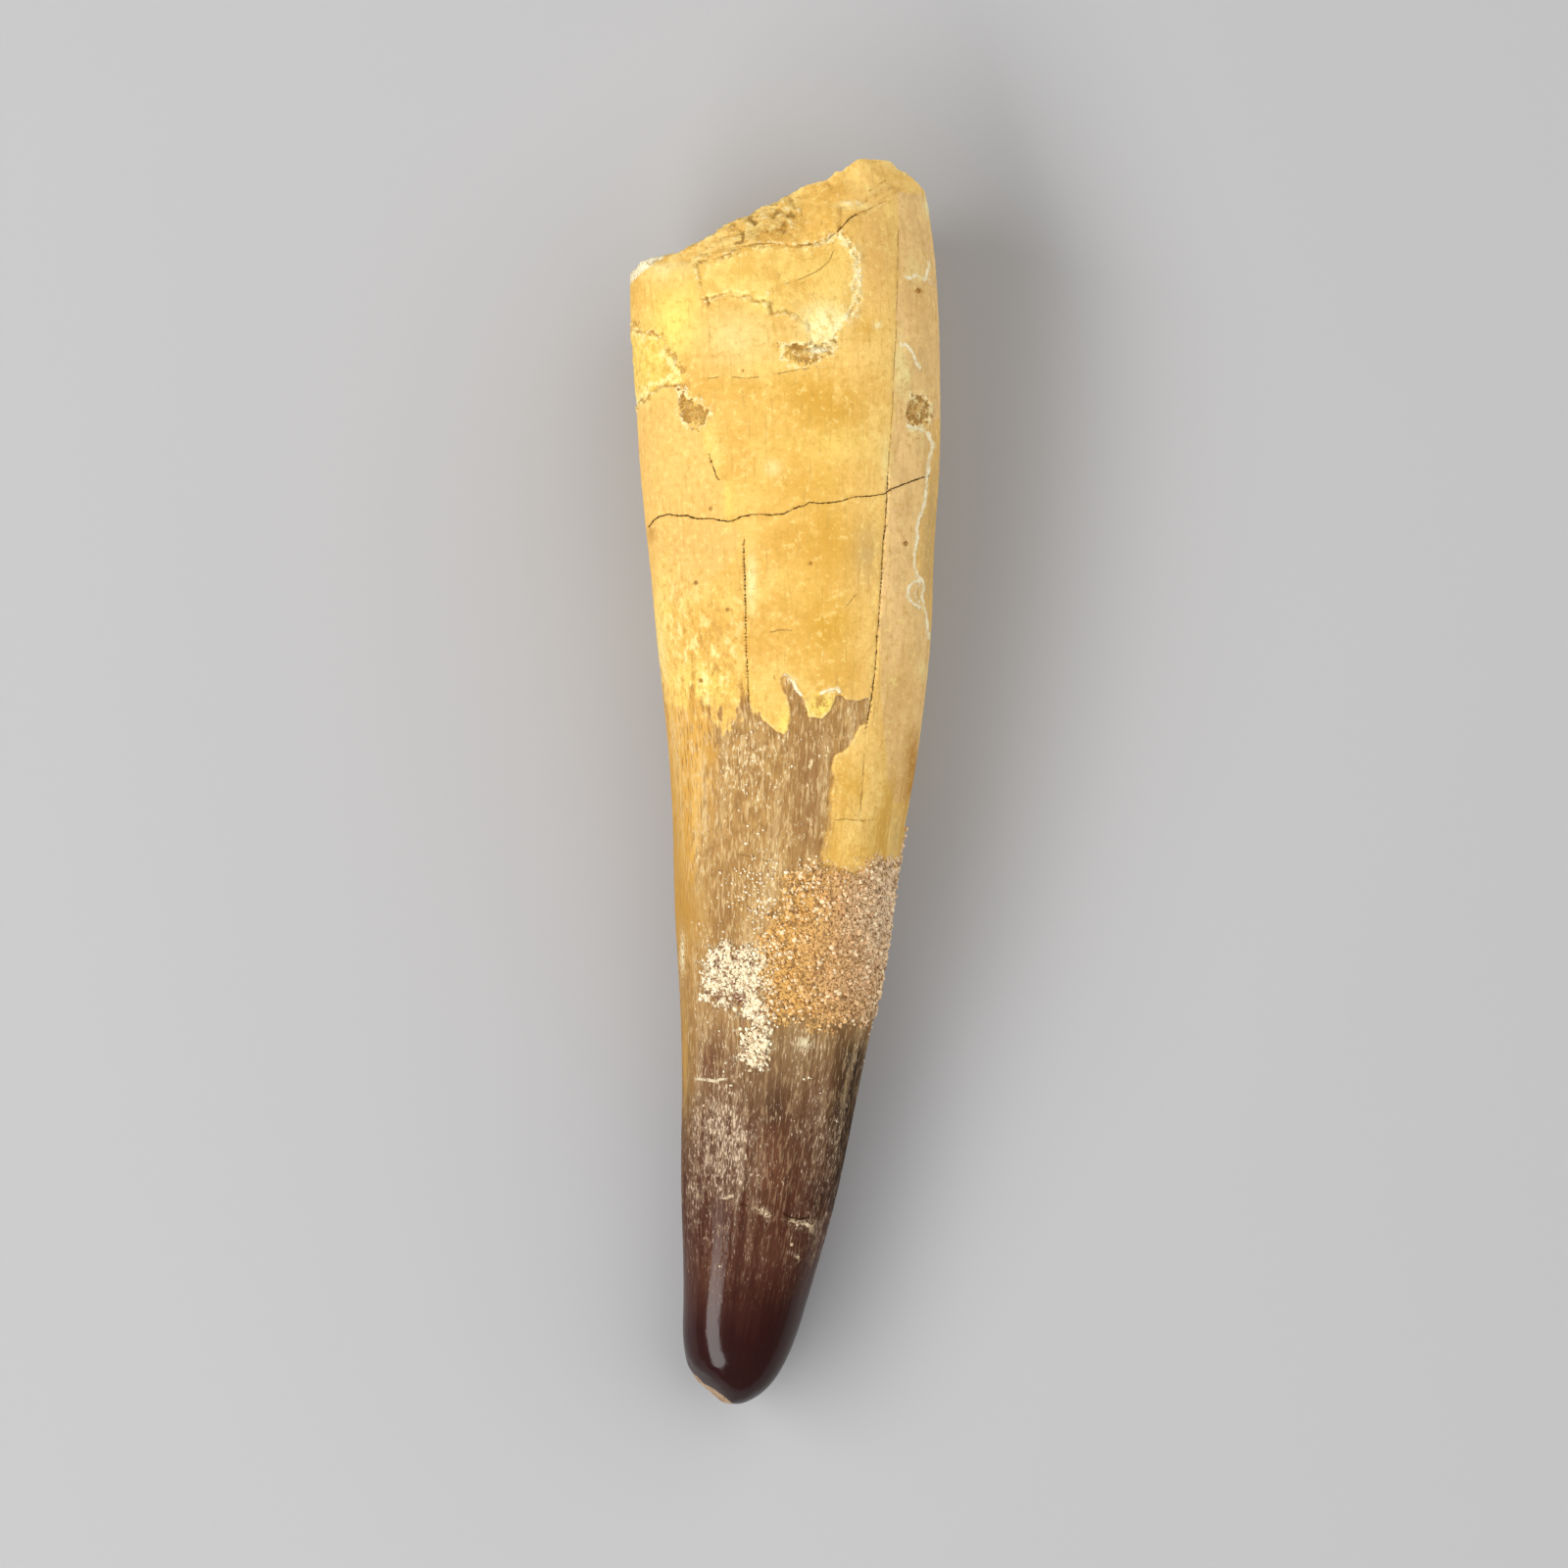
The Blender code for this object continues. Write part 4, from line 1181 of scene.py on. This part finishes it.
# %% Roughness and bump
bare = 1 - on_root
polish = (1 - matt) * bare * (1 - on_tip_chip)
crusty = larger(in_sand, in_pale)
rough = 0.62 + crusty * 0.25 + in_spall * 0.1 + (fine - 0.5) * 0.15 * (1 - polish)
strokes = streak * 0.16 + thin_streak * 0.08 + flecks * 0.08
on_enamel = (strokes * (matt * 0.9 + 0.06) + dusty * 0.03) * bare
on_layer = (mottle * 0.12 + 0.08) * on_root
on_rough = speck * 0.2 * crusty + in_spall * fine * 0.12 + slope * mottle * 0.35 - in_pit * fine * 0.2
on_lines = pale_line * 0.05 - crack_across * 0.12 - crack_along * 0.1 - hairline * 0.05
height = on_enamel + on_layer + on_rough + on_lines + chalky * 0.05
bump = node("Bump", {}, {"Strength": 1.0, "Distance": MM, "Height": height}, out="Normal")

# %% [markdown]
# Only the coat is glossy, and only on the polished tip. The mirror-like part of the rest is
# turned down, because it lays a grey veil over the dark enamel.

# %% Connect the shader
links = material.node_tree.links
links.new(colour.socket, shader.inputs["Base Color"])
links.new(rough.socket, shader.inputs["Roughness"])
links.new((polish * 0.55).socket, shader.inputs["Coat Weight"])
links.new(bump.socket, shader.inputs["Normal"])
shader.inputs["Specular IOR Level"].default_value = 0.05
shader.inputs["Coat Roughness"].default_value = 0.12
tooth.data.materials.append(material)
print(len(material.node_tree.nodes), "nodes")

# %% [markdown]
# ## Grains of the crust
# A bump can't make grains that stand up and throw shadows, so the larger ones are real. Each is a
# ball of 20 faces with its corners pushed about at random, sunk for half its height into the
# skin. They are joined into one piece for the sand and one for the pale crust and loose crumbs.

# %% One grain, many places
chance = np.random.default_rng(5)
grain_mesh = bpy.data.meshes.new("grain")
one = bmesh.new()
bmesh.ops.create_icosphere(one, subdivisions=1, radius=1.0)
one.to_mesh(grain_mesh)
one.free()
grain_corners = read_vertices(grain_mesh, "co")


def join_grains(name, centres, radii):
    """Makes one piece of many grains, each with its own size, form and tone."""
    heap = bmesh.new()
    for centre, radius in zip(centres, radii):
        squashed = grain_corners * chance.uniform(0.7, 1.3, 3)
        lumpy = squashed + chance.uniform(-0.2, 0.2, grain_corners.shape)
        corners = (centre + lumpy * radius) * MM
        grain_mesh.vertices.foreach_set("co", corners.astype(np.float32).ravel())
        heap.from_mesh(grain_mesh)
    joined = bpy.data.meshes.new(name)
    heap.to_mesh(joined)
    heap.free()
    tones = np.repeat(chance.random(len(centres)), len(grain_corners))
    joined.attributes.new("tone", "FLOAT", "POINT").data.foreach_set("value", tones.astype(np.float32))
    piece = bpy.data.objects.new(name, joined)
    bpy.context.scene.collection.objects.link(piece)
    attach(piece, "root")
    print(name, len(centres), "grains,", len(joined.polygons), "faces")
    return piece


# %% [markdown]
# Grains are strewn at random over the skin's vertices, thickest where the crusts are. A vertex in
# a finely cut stretch has less skin around it, so it gets fewer. None lies on the strip that the
# tooth rests on.

# %% Where grains lie
REST_GAP = 0.7      # mm above the surface that the tooth lies on
face_areas = np.zeros(len(mesh.polygons))
mesh.polygons.foreach_get("area", face_areas)
face_corners = np.zeros(len(mesh.polygons) * 3, np.int32)
mesh.polygons.foreach_get("vertices", face_corners)
skin_share = np.bincount(face_corners, np.repeat(face_areas, 3), len(place))
skin_share /= skin_share.sum()
clumps = ramp(unevenness(place + 3, 1.5, 2) + 0.6)
print(round(face_areas.sum() / MM ** 2), "square mm of skin")


def pick_spots(density, count):
    """Random places on the skin, more of them where the density is higher, and none where it rests."""
    weights = skin_share * density * clumps * (carved[:, 2] > REST_GAP)
    chosen = chance.choice(len(place), count, p=weights / weights.sum())
    return carved[chosen] + chance.uniform(-0.15, 0.15, (count, 3))


def on_top(x, y):
    """The place on the upper skin over a point of the plan."""
    away = np.hypot(place[:, 0] - x, place[:, 1] - y)
    return carved[np.argmin(away + (facing[:, 2] < 0.2) * 100)]


# %% [markdown]
# Sand fills its outline. The pale grains fill theirs, except on its rust spots, and loose ones lie
# in the dust of the enamel and in a few patches. The largest crumbs are placed one by one.

# %% How thickly they lie
LOOSE_PATCHES = [(-5, -12, 2.4, 3.5, 0.3), (-2, -13, 2.2, 4, 0.5), (-1.2, -20.5, 1, 4, 1),
                 (2.5, -11, 2, 2, 0.8)]
sand_density = ramp((fields["sand crust"] + 1.2) / 2.4)
pale_density = ramp((fields["pale crust"] + 0.6) / 1.2) * (1 - ramp(fields["rust"] * 2))
loose_density = 0.015 * bare_enamel * fields["dust"] * ramp((place[:, 1] + 50) / 20)
loose_density += 0.5 * painted(place, LOOSE_PATCHES) * upper_share
PALE_SPOTS = [      # single larger grains, placed one by one: x, y, radius
    (0.2, -9.9, 0.28), (1.9, -10.2, 0.36), (4.1, 3.2, 0.2), (-0.8, -0.4, 0.17), (2, -4.6, 0.16),
    (-3.9, -4.7, 0.18), (-5, -3, 0.16), (6.8, -11, 0.28), (-1.9, -48.2, 0.2), (-2.5, -47.7, 0.18),
    (0.8, -51.6, 0.18), (1.6, -53, 0.15), (1.4, -49.4, 0.22), (2.6, -49.5, 0.22), (-7.2, -54.2, 0.12),
]

# %% [markdown]
# Most grains of sand are small and a few are large, so their radii come from a squared random
# number. The order in which the random numbers are drawn decides the result, so it is kept.

# %% Make the grains
SAND_COUNT, PALE_COUNT, LOOSE_COUNT = 4200, 1100, 700
sand_spots = pick_spots(sand_density, SAND_COUNT)
sand_grains = join_grains("sand_grains", sand_spots, 0.10 + 0.20 * chance.random(SAND_COUNT) ** 2)
pale_spots = np.concatenate([
    pick_spots(pale_density, PALE_COUNT),
    pick_spots(loose_density, LOOSE_COUNT),
    [on_top(x, y) for x, y, _ in PALE_SPOTS],
])
pale_radii = np.concatenate([
    chance.uniform(0.10, 0.25, PALE_COUNT),
    chance.uniform(0.07, 0.17, LOOSE_COUNT),
    [radius for *_, radius in PALE_SPOTS],
])
pale_grains = join_grains("pale_grains", pale_spots, pale_radii)

# %% [markdown]
# Every grain got a random tone when it was made. The materials turn it into dark, middling and
# nearly white grains, and stain some of them, so that the crust sparkles as sand does.

# %% Colour the grains
def grain_material(name, colours):
    """A dull material whose colour goes by each grain's tone."""
    global material
    material = bpy.data.materials.new(name)
    material.use_nodes = True
    principled = material.node_tree.nodes["Principled BSDF"]
    at = place_in_mm()
    shade = colours(at, field("tone"), grain(at, 0.2, 2))
    material.node_tree.links.new(shade.socket, principled.inputs["Base Color"])
    uneven = 0.62 + grain(at, 0.15, 1) * 0.3
    material.node_tree.links.new(uneven.socket, principled.inputs["Roughness"])
    return material


def sand_colours(at, tone, stain):
    """Orange to beige by place, with darker and lighter patches and single grains."""
    patch = grain(at, 1.5, 3, rough=0.65)
    return layered(sand_tint(axis_of(at, "X"), (grain(at, 7.0, 2) - 0.5) * 8), [
        (step(patch, 0.52, 0.66) * 0.6, (0.46, 0.24, 0.080)),
        (step(patch, 0.46, 0.34) * 0.5, (0.94, 0.72, 0.380)),
        (step(tone, 0.40, 0.0) * 0.8, (0.20, 0.095, 0.035)),
        (step(tone, 0.60, 1.0) * 0.85, (0.97, 0.84, 0.56)),
        (step(stain, 0.55, 0.7) * 0.4, (0.34, 0.17, 0.055)),
    ])


def pale_colours(at, tone, stain):
    """Cream, a few of them brown, and duller on the dark part of the crown."""
    on_dark = step(axis_of(at, "Y"), -34.0, -44.0)
    return layered(mix(tone, (0.84, 0.68, 0.42), (0.98, 0.92, 0.70)), [
        (step(tone, 0.20, 0.0) * 0.8, (0.36, 0.19, 0.110)),
        (on_dark * 0.8, (0.56, 0.42, 0.270)),
        (step(stain, 0.58, 0.7) * 0.35, (0.52, 0.36, 0.190)),
    ])


sand_grains.data.materials.append(grain_material("sand_grains", sand_colours))
pale_grains.data.materials.append(grain_material("pale_grains", pale_colours))

# %% [markdown]
# ## Light, floor and camera
# The floor is a plain pale sheet.

# %% Floor
floor_mesh = bpy.data.meshes.new("floor")
sheet = bmesh.new()
bmesh.ops.create_grid(sheet, x_segments=1, y_segments=1, size=3.0)
sheet.to_mesh(floor_mesh)
sheet.free()
floor = bpy.data.objects.new("floor", floor_mesh)
bpy.context.scene.collection.objects.link(floor)
material = bpy.data.materials.new("floor")
material.use_nodes = True
paper = material.node_tree.nodes["Principled BSDF"]
paper.inputs["Base Color"].default_value = (0.44, 0.44, 0.45, 1)
paper.inputs["Roughness"].default_value = 0.9
floor_mesh.materials.append(material)

# %% [markdown]
# A tooth is shown best under one large soft light from its left, which also gives the crown its
# long highlight, with weak light from all round. The fill light is hidden from gloss, because it
# would veil the dark tip.

# %% Lights
def area_light(name, at, size, power, colour):
    """A rectangular light at a place in metres, looking at the tooth."""
    lamp = bpy.data.lights.new(name, "AREA")
    lamp.shape, lamp.size, lamp.size_y = "RECTANGLE", size[0], size[1]
    lamp.energy, lamp.color = power, colour
    light = bpy.data.objects.new(name, lamp)
    light.location = at
    light.rotation_euler = (-Vector(at)).to_track_quat("-Z", "Y").to_euler()
    bpy.context.scene.collection.objects.link(light)
    return light


area_light("window", (-0.8, -0.3, 0.8), (2.0, 0.5), 20.0, (1.0, 0.99, 0.98))
fill = area_light("fill", (1.1, 0.6, 1.0), (2.8, 2.8), 30.0, (1.0, 0.99, 0.97))
fill.visible_glossy = False
world = bpy.data.worlds.new("studio")
world.use_nodes = True
world.node_tree.nodes["Background"].inputs["Color"].default_value = (1, 1, 1, 1)
world.node_tree.nodes["Background"].inputs["Strength"].default_value = 0.24
bpy.context.scene.world = world
bpy.context.scene.view_settings.view_transform = "Standard"

# %% [markdown]
# The camera is far off with a long lens and looks straight down, so the outline is seen without
# perspective.

# %% Camera
VIEW_WIDTH = 176.0          # mm across the square picture, at half the tooth's height
CAMERA_HEIGHT = 1.2
HALF_THICKNESS = 0.012
SENSOR = 36.0
camera_data = bpy.data.cameras.new("camera")
camera_data.sensor_width = SENSOR
camera_data.lens = SENSOR * (CAMERA_HEIGHT - HALF_THICKNESS) / (VIEW_WIDTH * MM)
camera = bpy.data.objects.new("camera", camera_data)
camera.location = (0, 0, CAMERA_HEIGHT)
bpy.context.scene.collection.objects.link(camera)
bpy.context.scene.camera = camera
print("lens:", round(camera_data.lens), "mm")
